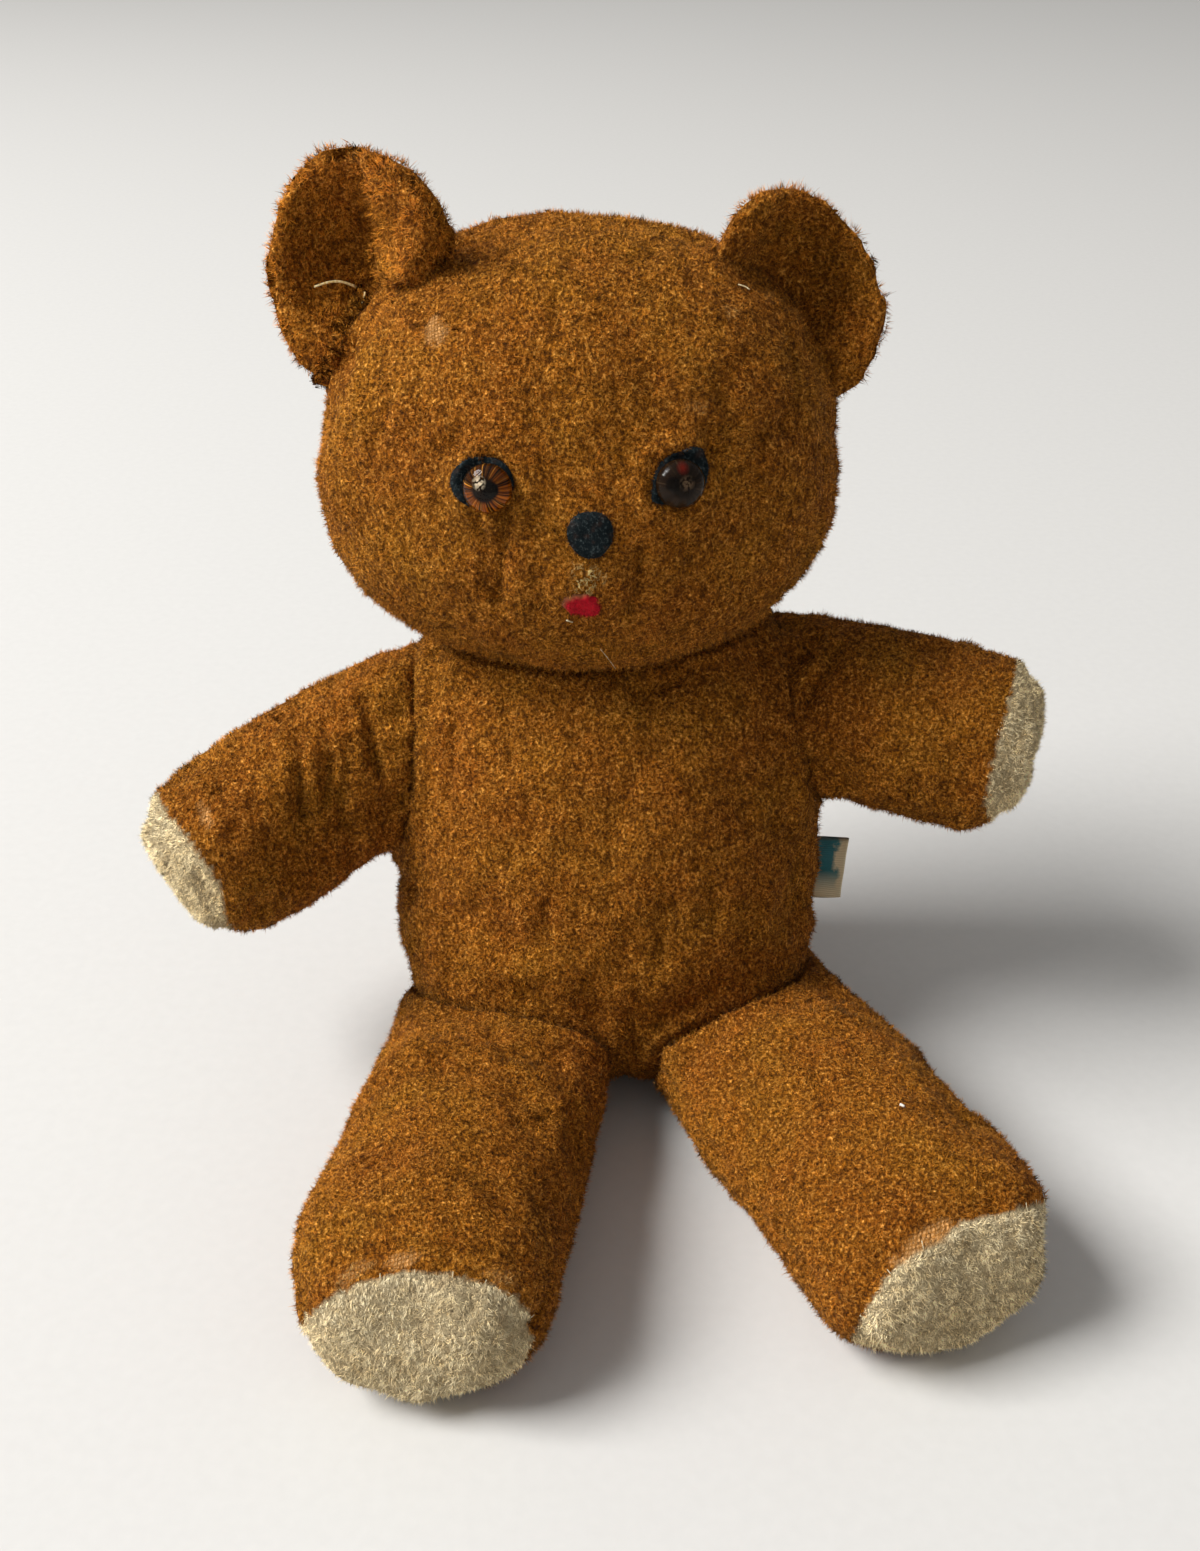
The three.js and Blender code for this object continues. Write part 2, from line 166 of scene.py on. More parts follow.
# smooth random field, -1 to 1, with lumps about as wide as size
def lumps(points, size, seed):
    grid = points / size
    cell = np.floor(grid).astype(np.int64)
    part = grid - cell
    part = part * part * (3 - 2 * part)
    total = np.zeros(len(points))
    for corner in np.ndindex(2, 2, 2):
        key = cell + np.array(corner)
        mixed = key[:, 0] * 73856093 ^ key[:, 1] * 19349663 ^ key[:, 2] * 83492791 ^ seed * 40503
        mixed = (mixed ^ (mixed >> 13)) * 1274126177
        mixed = (mixed ^ (mixed >> 15)) * 668265263
        value = ((mixed >> 9) & 0xFFFF) / 32767.5 - 1
        total += value * np.prod(np.where(np.array(corner) == 1, part, 1 - part), axis=1)
    return total


def unit(vectors):
    return vectors / np.maximum(np.linalg.norm(vectors, axis=-1, keepdims=True), 1e-9)


def ease(values, low, high):
    t = np.clip((values - low) / (high - low), 0, 1)
    return t * t * (3 - 2 * t)


def placesOf(mesh):
    flat = np.empty(len(mesh.vertices) * 3)
    mesh.vertices.foreach_get("co", flat)
    return flat.reshape(-1, 3)


def normalsOf(mesh):
    flat = np.empty(len(mesh.vertices) * 3)
    mesh.vertices.foreach_get("normal", flat)
    return flat.reshape(-1, 3)


def putPlaces(mesh, places):
    mesh.vertices.foreach_set("co", np.ascontiguousarray(places).ravel())
    mesh.update()


def smoothFaces(mesh):
    for face in mesh.polygons:
        face.use_smooth = True


# the shape after modifiers, which then come off
def applied(body):
    graph = bpy.context.evaluated_depsgraph_get()
    shape = bpy.data.meshes.new_from_object(body.evaluated_get(graph))
    body.modifiers.clear()
    body.data = shape
    return shape


def nodeTree(names):
    places, faces = [], []
    for name in names:
        mesh = nodes[name].data
        start = len(places)
        places += [nodes[name].matrix_world @ v.co for v in mesh.vertices]
        faces += [[start + i for i in p.vertices] for p in mesh.polygons]
    return places, faces


def meshTree(mesh):
    return BVHTree.FromPolygons([v.co for v in mesh.vertices], [p.vertices for p in mesh.polygons])


def distances(tree, points):
    return np.array([tree.find_nearest(Vector(p))[3] for p in points])


# shortest way from each point to a line of points
def offLine(points, path):
    best = np.full(len(points), 9.0)
    for a, b in zip(path[:-1], path[1:]):
        along = np.clip((points - a) @ (b - a) / max((b - a) @ (b - a), 1e-12), 0, 1)
        best = np.minimum(best, np.linalg.norm(points - a - along[:, None] * (b - a), axis=1))
    return best


# the stuffed members; nap is the way that the pile lies, lengths in mm
members = {
    "head": {
        "panels": ["head_face_panel", "head_back_panel"], "core": "head_stuffing", "pad": None,
        "meets": ["torso", "left_ear", "right_ear"], "voxel": 4.0, "fill": 0.85, "inset": 1.6, "seamDepth": 2.2,
        "nap": (0.0, -0.3, -1.0), "lumpy": 0.9,
    },
    "torso": {
        "panels": ["torso_belly_panel", "torso_back_panel"], "core": "torso_stuffing", "pad": None,
        "meets": ["head", "left_arm", "right_arm", "left_leg", "right_leg"], "voxel": 4.0, "fill": 0.75,
        "inset": 2.0, "seamDepth": 2.0, "nap": (0.0, 0.0, -1.0), "lumpy": 1.1,
    },
}
pairs = {
    "arm": {"panels": ["arm_cover"], "core": "arm_stuffing", "pad": "hand_pad", "meets": ["torso"], "voxel": 3.6,
            "fill": 0.6, "inset": 2.0, "seamDepth": 1.4, "lumpy": 1.1},
    "leg": {"panels": ["leg_top_panel", "leg_under_panel"], "core": "leg_stuffing", "pad": "foot_pad",
            "meets": ["torso"], "voxel": 4.0, "fill": 0.65, "inset": 2.0, "seamDepth": 1.6, "lumpy": 1.0},
    "ear": {"panels": ["ear_front", "ear_back"], "core": None, "pad": None, "meets": ["head"], "voxel": 2.2,
            "fill": 0.35, "inset": 0.8, "seamDepth": 0.3, "lumpy": 0.4},
}
for kind, settings in pairs.items():
    for side in ("left_", "right_"):
        members[side + kind] = dict(settings, panels=[side + name for name in settings["panels"]])
        for part in ("core", "pad"):
            if settings[part]:
                members[side + kind][part] = side + settings[part]
members["right_arm"]["lumpy"] = 1.2


def clothsOf(key):
    settings = members[key]
    return settings["panels"] + ([settings["pad"]] if settings["pad"] else [])


panelTrees = {name: BVHTree.FromPolygons(*nodeTree([name])) for key in members for name in clothsOf(key)}


# distance to each cloth panel: the two nearest tell how far the seam is
def seamsOf(key, points):
    away = np.stack([distances(panelTrees[n], points) for n in clothsOf(key)], 1)
    if away.shape[1] == 1:
        return away, np.full(len(points), 1.0)
    ordered = np.sort(away, 1)
    return away, ordered[:, 1] - ordered[:, 0]


def neighbourGap(key, points):
    panels = [name for other in members[key]["meets"] for name in members[other]["panels"]]
    return distances(BVHTree.FromPolygons(*nodeTree(panels)), points)


def middle(name):
    low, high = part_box(name)
    return (np.array(low) + np.array(high)) / 2


for key, settings in members.items():
    if "nap" not in settings and settings["pad"]:
        settings["nap"] = tuple(unit(middle(settings["pad"]) - middle(settings["core"])))
    elif "nap" not in settings:
        settings["nap"] = tuple(unit(middle(settings["panels"][0]) - middle("head_stuffing")))


# bodies: closed cloth skins over stuffing, sunk under the pile and at the seams; widths in mm
skin = {"smoothing": 4, "seamShare": 0.5, "seamWidth": 3.0, "pinnedSeam": 2.2, "pinnedRoot": 3.0, "pinnedSeat": 2.5}
bodies = {}
pinnedPoints = {}
starts = {}
for key, settings in members.items():
    shape = bpy.data.meshes.new(key + "_body")
    core = [settings["core"]] if settings["core"] else []
    corners, faces = nodeTree(settings["panels"] + core + clothsOf(key)[len(settings["panels"]):])
    shape.from_pydata([tuple(p) for p in corners], [], faces)
    body = bpy.data.objects.new(key + "_body", shape)
    scene.collection.objects.link(body)
    remesh = body.modifiers.new("even", "REMESH")
    remesh.mode = "VOXEL"
    remesh.voxel_size = settings["voxel"] * mm
    smooth = body.modifiers.new("rounded", "SMOOTH")
    smooth.factor = 0.5
    smooth.iterations = skin["smoothing"]
    shape = applied(body)
    places, normals = placesOf(shape), normalsOf(shape)
    _, seam = seamsOf(key, places)
    near = neighbourGap(key, places)
    flatSeat = ease(places[:, 2], 2 * mm, 12 * mm)
    inset = settings["inset"] * mm * ease(near, 1 * mm, 7 * mm) * (0.2 + 0.8 * flatSeat)
    inset += settings["seamDepth"] * skin["seamShare"] * mm * np.exp(-(seam / (skin["seamWidth"] * mm)) ** 2) * flatSeat
    places = places - normals * inset[:, None]
    putPlaces(shape, places)
    starts[key] = places
    held = (seam < skin["pinnedSeam"] * mm) | (near < skin["pinnedRoot"] * mm)
    held = held | (places[:, 2] < skin["pinnedSeat"] * mm)
    pinnedPoints[key] = np.nonzero(held)[0]
    bodies[key] = body
print("bodies:", {key: len(body.data.vertices) for key, body in bodies.items()})

# the stuffing presses the cloth out between its seams
stuffing = {"pressure": 4.0, "frames": 20, "mostMove": 5.0, "spare": -0.015}
stuffed = {key: body for key, body in bodies.items() if members[key]["core"]}
for key, body in stuffed.items():
    group = body.vertex_groups.new(name="sewn")
    group.add([int(i) for i in pinnedPoints[key]], 1.0, "REPLACE")
    cloth = body.modifiers.new("stuffing", "CLOTH")
    cloth.settings.quality = 4
    cloth.settings.mass = 0.25
    cloth.settings.tension_stiffness = 20
    cloth.settings.compression_stiffness = 20
    cloth.settings.shear_stiffness = 8
    cloth.settings.bending_stiffness = 0.4
    cloth.settings.vertex_group_mass = "sewn"
    cloth.settings.use_pressure = True
    cloth.settings.uniform_pressure_force = stuffing["pressure"]
    cloth.settings.shrink_min = stuffing["spare"]
    cloth.settings.effector_weights.gravity = 0
    cloth.collision_settings.use_collision = False
    cloth.collision_settings.use_self_collision = False
    cloth.point_cache.frame_start = 1
    cloth.point_cache.frame_end = stuffing["frames"]
for step in range(1, stuffing["frames"] + 1):
    scene.frame_set(step)
for key, body in stuffed.items():
    swollen = placesOf(applied(body))
    move = swollen - starts[key]
    far = np.linalg.norm(move, axis=1, keepdims=True)
    move *= np.minimum(1, stuffing["mostMove"] * mm / np.maximum(far, 1e-9))
    print("swelled", key, "mean", round(float(far.mean() / mm), 2), "most", round(float(far.max() / mm), 2), "mm")
    putPlaces(body.data, starts[key] + move)
    body.vertex_groups.clear()
scene.frame_set(1)

for key, body in bodies.items():
    finer = body.modifiers.new("finer", "SUBSURF")
    finer.levels = finer.render_levels = 1
    applied(body)
trees = {key: meshTree(body.data) for key, body in bodies.items()}


# where a pixel of the photograph falls on a member
def onBody(key, pixel):
    x = (pixel[0] - camera["photoSize"][0] / 2) / focalPixels
    y = (camera["photoSize"][1] / 2 - pixel[1]) / focalPixels
    way = (cameraTurn @ Vector((x, y, -1))).normalized()
    spot, normal, _, _ = trees[key].ray_cast(cameraPlace, way)
    if spot is None:
        reach = (Vector(middle(members[key]["panels"][0])) - cameraPlace).dot(way)
        spot, normal, _, _ = trees[key].find_nearest(cameraPlace + way * reach)
    return np.array(spot), np.array(normal)


# creases, gathers and soft lumps: member, line in pixels, depth and half width in mm
creases = [
    ("head", [(506, 512), (500, 555), (495, 604)], 4.0, 1.7),
    ("head", [(641, 556), (640, 585), (628, 614)], 2.8, 1.7),
    ("head", [(478, 520), (484, 550), (482, 590)], 2.2, 2.0),
    ("head", [(462, 540), (466, 575)], 1.4, 1.9),
    ("head", [(705, 455), (745, 440), (785, 424)], 1.4, 2.2),
    ("head", [(715, 475), (752, 466)], 1.0, 2.0),
    ("head", [(715, 385), (722, 402), (738, 418)], 1.4, 1.5),
    ("head", [(790, 330), (797, 365), (793, 400)], 1.4, 1.6),
    ("head", [(700, 428), (720, 432), (742, 424)], 1.4, 1.5),
    ("head", [(655, 455), (640, 470), (620, 478)], 1.0, 1.6),
    ("head", [(375, 296), (359, 345), (353, 400), (366, 440)], -1.8, 2.2),
    ("head", [(366, 300), (349, 345), (342, 400)], 1.6, 2.0),
    ("torso", [(432, 648), (520, 660), (600, 664), (690, 650), (745, 626)], 3.6, 3.2),
    ("torso", [(452, 715), (450, 760), (446, 800)], 1.8, 2.0),
    ("torso", [(500, 672), (528, 664), (560, 660)], 1.4, 2.0),
    ("torso", [(405, 690), (401, 740), (404, 800)], 1.4, 2.2),
    ("torso", [(425, 700), (421, 760)], 1.2, 2.0),
    ("torso", [(400, 872), (397, 895), (402, 920)], 3.0, 1.8),
    ("torso", [(785, 640), (800, 700), (808, 770)], 1.6, 2.2),
    ("torso", [(772, 690), (768, 740)], 1.0, 2.2),
    ("torso", [(790, 820), (797, 880)], 1.2, 2.4),
    ("torso", [(640, 810), (650, 830)], 0.9, 2.0),
    ("torso", [(627, 1015), (632, 1050), (624, 1075)], 2.2, 2.2),
    ("left_arm", [(838, 646), (826, 672), (812, 690), (806, 722)], 2.6, 1.8),
    ("left_arm", [(842, 656), (836, 668)], 1.8, 1.6),
    ("left_arm", [(800, 625), (815, 640), (800, 668)], 1.6, 2.0),
    ("left_arm", [(835, 745), (842, 770), (850, 790)], 1.4, 2.0),
    ("left_arm", [(930, 645), (932, 665)], 1.0, 1.8),
    ("left_arm", [(940, 735), (952, 722)], 1.0, 1.8),
    ("left_arm", [(955, 755), (965, 735)], 0.9, 2.0),
    ("right_arm", [(300, 730), (298, 765), (304, 815)], 2.8, 1.9),
    ("right_arm", [(325, 725), (330, 765), (330, 800)], 2.6, 1.9),
    ("right_arm", [(345, 712), (350, 770)], 2.2, 1.9),
    ("right_arm", [(366, 700), (372, 745), (382, 775)], 2.4, 1.9),
    ("right_arm", [(345, 790), (348, 830)], 2.2, 1.8),
    ("left_leg", [(688, 1055), (702, 1040), (715, 1035)], 1.6, 1.8),
    ("left_leg", [(822, 958), (838, 962)], 1.4, 1.6),
    ("left_leg", [(712, 1165), (722, 1180)], 1.6, 2.0),
    ("left_leg", [(905, 1200), (940, 1190), (985, 1180)], 1.0, 2.2),
    ("right_leg", [(430, 1032), (475, 1040), (500, 1036)], 1.4, 1.8),
    ("right_leg", [(520, 1050), (560, 1068), (592, 1092)], 1.4, 1.9),
    ("right_leg", [(540, 1318), (552, 1290), (562, 1255)], 2.4, 2.0),
]
# small bumps of spare cloth: member, pixel, height and half width in mm
bumps = [
    ("left_leg", (840, 948), 4.0, 8.0),
    ("right_leg", (392, 1020), 4.5, 8.0),
    ("right_leg", (372, 1050), 2.5, 7.0),
    ("head", (355, 330), -2.5, 12.0),
    ("head", (330, 480), 1.5, 14.0),
    ("left_arm", (962, 822), 2.0, 5.0),
    ("right_arm", (318, 835), -4.0, 15.0),
]


def meanOf(name):
    return placesOf(nodes[name].data).mean(0)


# how each eye stands: its axis runs from the washer inside the face to the lens
eyeStands = {}
for side in ("left", "right"):
    lensMiddle = meanOf(side + "_eye_lens")
    axis = unit(lensMiddle - meanOf(side + "_eye_washer"))
    across = unit(np.cross([0, 0, 1], axis))
    lowest = ((placesOf(nodes[side + "_eye_lens"].data) - lensMiddle) @ axis).min()
    eyeStands[side] = {"axis": axis, "across": across, "upward": np.cross(axis, across),
                       "base": lensMiddle + axis * (lowest - 2.0 * mm)}
# the shank draws the face up under each eye, and the cloth swells round it, mm
socket = {"height": 1.6, "radius": 10.0, "width": 2.8, "under": 2.7, "flat": 8.0, "fade": 15.0, "most": 4.5}
# relief of the cloth in mm: lumps by size, height and seed, gathers at the sewn-in ends, seams, and dents where
# the stuffing has sunk; a shade is painted shade in the dents, the creases and the roots, a share of the pile's tone
relief = {
    "lumps": [(26, 0.9, 11), (11, 0.85, 12), (5, 0.5, 14)], "gather": 1.5, "gatherSize": 7, "gatherReach": 16,
    "seamShare": 0.6, "seamWidth": 2.4, "dent": 1.3, "dentSize": 5, "dentShape": (1, 1, 0.32), "dentShade": 0.16,
    "creaseShade": 0.2, "rootShade": 0.36, "rootWidth": 3, "mostShade": 0.55,
}
bodyFacts = {}
for key, body in bodies.items():
    settings = members[key]
    shape = body.data
    places, normals = placesOf(shape), normalsOf(shape)
    away, seam = seamsOf(key, places)
    near = neighbourGap(key, places)
    move = settings["lumpy"] * mm * sum(lumps(places, size * mm, seed) * high for size, high, seed in relief["lumps"])
    nap = np.array(settings["nap"])
    if key != "head" and settings["core"]:
        across = places - (places @ nap)[:, None] * nap * 0.8
        fade = np.exp(-(near / (relief["gatherReach"] * mm)) ** 2)
        move += relief["gather"] * mm * lumps(across, relief["gatherSize"] * mm, 13) * fade
    move -= settings["seamDepth"] * relief["seamShare"] * mm * np.exp(-(seam / (relief["seamWidth"] * mm)) ** 2)
    dent = ease(lumps(places * np.array(relief["dentShape"]), relief["dentSize"] * mm, 15), 0.3, 0.85)
    move -= settings["lumpy"] * relief["dent"] * mm * dent
    # painted shade in the dents
    dark = relief["dentShade"] * settings["lumpy"] * dent
    for member, line, depth, width in creases:
        if member == key:
            path = [onBody(key, p)[0] for p in line]
            fold = np.exp(-(offLine(places, path) / (width * mm)) ** 2)
            move -= depth * mm * fold
            # painted shade along the creases, darker for deeper ones
            dark = np.maximum(dark, relief["creaseShade"] * max(depth, 0) * fold ** 3)
    for member, pixel, height, width in bumps:
        if member == key:
            spot = onBody(key, pixel)[0]
            move += height * mm * np.exp(-(np.linalg.norm(places - spot, axis=1) / (width * mm)) ** 2)
    if key == "head":
        for stand in eyeStands.values():
            gap = places - stand["base"]
            out = np.linalg.norm(gap - (gap @ stand["axis"])[:, None] * stand["axis"], axis=1)
            ring = np.exp(-((out - socket["radius"] * mm) / (socket["width"] * mm)) ** 2)
            ahead = normals @ stand["axis"] > 0.2
            move += socket["height"] * mm * ring * ahead
            short = np.clip(-socket["under"] * mm - gap @ stand["axis"], -2 * mm, socket["most"] * mm)
            drawn = short * (1 - ease(out, socket["flat"] * mm, socket["fade"] * mm)) * ahead
            places = places + drawn[:, None] * stand["axis"]
    move *= ease(near, 0.5 * mm, 4 * mm) * ease(places[:, 2], 1 * mm, 9 * mm)
    places = places + normals * move[:, None]
    places[:, 2] = np.maximum(places[:, 2], 0.5 * mm)
    putPlaces(shape, places)
    # painted shade at the roots, where this member meets another
    dark = np.maximum(dark, relief["rootShade"] * np.exp(-(near / (relief["rootWidth"] * mm)) ** 2))
    bodyFacts[key] = {"away": away, "dark": np.minimum(dark, relief["mostShade"])}


# the way from each place to a member, and its length
def wayTo(key, places):
    way = np.array([np.array(trees[key].find_nearest(Vector(p))[0]) for p in places]) - places
    return way, np.linalg.norm(way, axis=1)


# an ear's inner edge rolls forward and its middle is hollow; all in mm, sideways is towards the head.
# The roll spreads at its top, the outer half bends back, and the rim is plump.
earShapes = {
    "right_ear": {"facing": (-0.2, -0.9, 0.1), "top": (0.1, 0, 1), "roll": 9.0, "rollAt": 14.5, "rollWidth": 10.0,
                  "hollow": 5.5, "rim": 1.0, "puff": 2.2, "bend": 6.0, "shift": 2.0, "spread": 7.0, "trim": -0.5,
                  "paintedShade": -0.36},
    "left_ear": {"facing": (0.3, -0.85, 0.1), "top": (-0.33, 0, 0.94), "roll": 2.0, "rollAt": -15.0, "rollWidth": 9.0,
                 "hollow": 4.5, "rim": 1.5, "puff": 1.6, "bend": 0.0, "shift": 0.0, "spread": 0.0, "trim": 0.0,
                 "paintedShade": -0.06},
}
earHalf = (24, 31)
sewnDepth = {"ear": 4.5, "arm": 2}
for key, ear in earShapes.items():
    shape = bodies[key].data
    places = placesOf(shape)
    centre = places.mean(0)
    front, upward = unit(np.array(ear["facing"])), np.array(ear["top"])
    upward = unit(upward - (upward @ front) * front)
    sideways = np.cross(upward, front)
    sideways = sideways * np.sign((middle("head_stuffing") - centre) @ sideways)
    u, v = (places - centre) @ sideways, (places - centre) @ upward
    around = np.sqrt((u / (earHalf[0] * mm)) ** 2 + (v / (earHalf[1] * mm)) ** 2)
    bulge = np.clip(1 - ((u - ear["rollAt"] * mm) / (ear["rollWidth"] * mm)) ** 2, 0, 1)
    forward = ear["roll"] * mm * np.sqrt(bulge) * ease(bulge, 0, 0.25)
    forward = forward * ease(v, -30 * mm, -12 * mm) * (1 - 0.45 * ease(v, 16 * mm, 30 * mm))
    forward -= ear["hollow"] * mm * np.exp(-(around / 0.5) ** 4)
    forward += ear["rim"] * mm * np.exp(-((around - 0.85) / 0.16) ** 2)
    forward -= ear["bend"] * mm * ease(-u, 2 * mm, 24 * mm)
    wide = ear["spread"] * ease(u, 2 * mm, 18 * mm) * ease(v, -5 * mm, 15 * mm)
    wide = wide * (1 - 0.3 * ease(v, 24 * mm, 32 * mm))
    shift = (ear["shift"] + wide + ear["trim"] * ease(-u, 14 * mm, 26 * mm)) * mm
    plump = ear["puff"] * mm * np.exp(-((around - 0.85) / 0.22) ** 2)
    places = (places + forward[:, None] * front + np.reshape(shift, (-1, 1)) * sideways
              + plump[:, None] * normalsOf(shape))
    rootward, gap = wayTo("head", places)
    sewnIn = (1 - ease(gap, 2 * mm, 8 * mm)) * sewnDepth["ear"] * mm
    # painted light on the cup and rim where the painted shade is below 0, and painted shade in the groove where the ear
    # meets the head
    paintedLitArea = np.maximum(ease(around, 0.35, 0.75), np.maximum(bulge, 0.55)) * (normalsOf(shape) @ front > -0.3)
    bodyFacts[key]["dark"] += ear["paintedShade"] * paintedLitArea + 0.5 * (1 - ease(gap, 1 * mm, 6 * mm))
    putPlaces(shape, places + unit(rootward) * sewnIn[:, None])
for key in ("left_arm", "right_arm"):
    places = placesOf(bodies[key].data)
    rootward, gap = wayTo("torso", places)
    sewnIn = (1 - ease(gap, 1 * mm, 7 * mm)) * sewnDepth["arm"] * mm
    putPlaces(bodies[key].data, places + unit(rootward) * sewnIn[:, None])
trees = {key: meshTree(body.data) for key, body in bodies.items()}
print("creases, gathers and ear rolls done")


# worn places: member, pixel, half sizes in mm, turn in degrees, how bare, how pale
wornPlaces = [
    ("head", (434, 330), (2.9, 4.6), 30, 1.0, 0.0),
    ("head", (588, 579), (4.2, 4.0), 20, 0.0, 1.0),
    ("head", (730, 310), (2.6, 1.6), 30, 0.2, 0.6),
    ("head", (695, 405), (3.2, 1.4), -30, 0.15, 0.5),
    ("right_arm", (206, 818), (1.7, 4.4), 28, 0.9, 0.1),
    ("right_leg", (402, 1261), (4.2, 2.4), 4, 0.95, 0.1),
    ("right_leg", (350, 1274), (5.4, 2.0), 24, 0.45, 0.5),
    ("right_leg", (500, 1277), (4.6, 1.8), -18, 0.4, 0.5),
    ("left_leg", (926, 1238), (9.5, 2.4), 30, 0.95, 0.1),
]


def wornAt(key, points):
    bare, pale = np.zeros(len(points)), np.zeros(len(points))
    for member, pixel, half, turned, bareness, paleness in wornPlaces:
        if member != key:
            continue
        spot, normal = onBody(key, pixel)
        right = np.array(cameraTurn @ Vector((1, 0, 0)))
        right = unit(right - (right @ normal) * normal)
        up = np.cross(normal, right)
        c, s = math.cos(math.radians(turned)), math.sin(math.radians(turned))
        gap = points - spot
        a = (gap @ (c * right + s * up)) / (half[0] * mm)
        b = (gap @ (c * up - s * right)) / (half[1] * mm)
        ragged = 1 + 0.35 * lumps(points, 1.6 * mm, 31)
        inside = (1 - ease(np.sqrt(a * a + b * b) * ragged, 0.7, 1.15)) * (np.abs(gap @ normal) < 12 * mm)
        bare = np.maximum(bare, bareness * inside)
        pale = np.maximum(pale, paleness * inside)
    return bare, pale


# pad edges as the photograph shows them, in pixels, with the pad on the line's right-hand side;
# the edge wanders by some more, in mm
padLines = {
    "right_leg": [(292, 1420), (297, 1330), (318, 1302), (352, 1283), (400, 1272), (448, 1275), (488, 1285),
                  (518, 1300), (535, 1322), (533, 1360), (515, 1420)],
    "left_leg": [(846, 1350), (866, 1312), (884, 1278), (910, 1248), (955, 1226), (1002, 1212), (1050, 1200)],
    "right_arm": [(146, 760), (164, 780), (186, 800), (205, 832), (220, 872), (230, 925)],
    "left_arm": [(990, 845), (986, 806), (977, 773), (979, 735), (986, 700), (994, 655)],
}
padEdge = {"wander": 1.0, "waveSize": 12.0, "ragged": 0.45, "raggedSize": 2.2, "spare": 5.0}


# where points fall in the photograph, and how many mm a pixel is there
def pixelsOf(points):
    local = (points - np.array(cameraPlace)) @ np.array(cameraTurn.to_matrix())
    depth = -local[:, 2]
    x = camera["photoSize"][0] / 2 + focalPixels * local[:, 0] / depth
    y = camera["photoSize"][1] / 2 - focalPixels * local[:, 1] / depth
    return np.stack([x, y], 1), depth / focalPixels


# the cream side of a pad's edge is above 0
def padSide(key, points, away):
    if members[key]["pad"] is None:
        return np.full(len(points), -1.0)
    inside = away[:, :-1].min(1) - away[:, -1] + padEdge["spare"] * mm
    pixels, pixelSize = pixelsOf(points)
    line = np.array(padLines[key], float)
    best, side = np.full(len(points), 1e9), np.zeros(len(points))
    for a, b in zip(line[:-1], line[1:]):
        along = np.clip((pixels - a) @ (b - a) / ((b - a) @ (b - a)), 0, 1)
        gap = pixels - a - along[:, None] * (b - a)
        far = np.linalg.norm(gap, axis=1)
        nearer = far < best
        best = np.where(nearer, far, best)
        side = np.where(nearer, np.sign((b - a)[0] * (pixels - a)[:, 1] - (b - a)[1] * (pixels - a)[:, 0]), side)
    inside = np.minimum(inside, best * side * pixelSize)
    inside = inside + padEdge["wander"] * mm * lumps(points, padEdge["waveSize"] * mm, 41)
    return inside + padEdge["ragged"] * mm * lumps(points, padEdge["raggedSize"] * mm, 42)


def putValues(mesh, name, values):
    mesh.attributes.new(name, "FLOAT", "POINT").data.foreach_set("value", values.astype(np.float32))


for key, body in bodies.items():
    settings, facts, shape = members[key], bodyFacts[key], body.data
    places, normals = placesOf(shape), normalsOf(shape)
    covered = np.zeros(len(places), bool)
    for other in settings["meets"]:
        tree = trees[other]
        low = placesOf(bodies[other].data).min(0) - 4 * mm
        high = placesOf(bodies[other].data).max(0) + 4 * mm
        for i in np.nonzero(((places > low) & (places < high)).all(1))[0]:
            spot, normal, _, gap = tree.find_nearest(Vector(places[i]))
            if gap > 0.7 * mm and (Vector(places[i]) - spot).dot(normal) < 0:
                covered[i] = True
    facts["covered"] = covered.astype(float)
    facts["bare"], facts["pale"] = wornAt(key, places)
    facts["pad"] = padSide(key, places, facts["away"])
    shape.calc_loop_triangles()
    triangles = np.empty(len(shape.loop_triangles) * 3, np.int32)
    shape.loop_triangles.foreach_get("vertices", triangles)
    facts["triangles"] = triangles.reshape(-1, 3)
    facts["places"], facts["normals"] = places, normals
    putValues(shape, "bare", facts["bare"])
    putValues(shape, "cream", (facts["pad"] > 0).astype(float))
    smoothFaces(shape)
print("worn places and pad edges marked")


# plush: rust-brown mohair-like pile, woven through a cotton back, matted by handling.
# The eye gets tufts about 1 mm wide, with painted shade in the pits between them and a painted highlight on their
# crests, and patches that lean to gold or to rust.
pileColours = {"root": "#783e06", "rust": "#d57c19", "gold": "#e09120", "paintedCrestHighlight": "#e8b05a", "worn": "#dcc07c"}
tufting = {"tuft": 0.95, "pit": 1.6, "mottle": 3.0, "zone": 28.0}   # mm


# colour and height of the matted pile at each point: gold or rust with a painted highlight on the crests, and how
# light, with painted shade in the pits
def mattedPile(tree, place):
    zone = ranged(tree, noise(tree, place, tufting["zone"] * mm, 3, 0.6), 0.35, 0.68)
    hue = blend(tree, zone, pileColours["rust"], pileColours["gold"])
    tuft = ranged(tree, noise(tree, place, tufting["tuft"] * mm, 3, 0.68), 0.36, 0.66, 0.14, 1.85)
    long = mapped(tree, place, Scale=(1, 0.7, 0.48))
    paintedPitShade = ranged(tree, noise(tree, long, tufting["pit"] * mm, 1), 0.34, 0.47, 0.4, 1.05)
    mottle = ranged(tree, noise(tree, place, tufting["mottle"] * mm, 2, 0.6), 0.3, 0.7, 0.8, 1.2)
    fine = times(tree, tuft, paintedPitShade)
    crestHighlighted = blend(tree, ranged(tree, fine, 0.9, 1.7, 0.0, 0.45), hue, pileColours["paintedCrestHighlight"])
    return crestHighlighted, fine, times(tree, fine, mottle)


# a fibre is lit from outside the cloth on both of its faces
def outwardNormal(tree):
    facing = addNode(tree, "ShaderNodeNewGeometry").outputs
    return scaled(tree, facing["Normal"], ranged(tree, facing["Backfacing"], 0, 1, 1, -1))


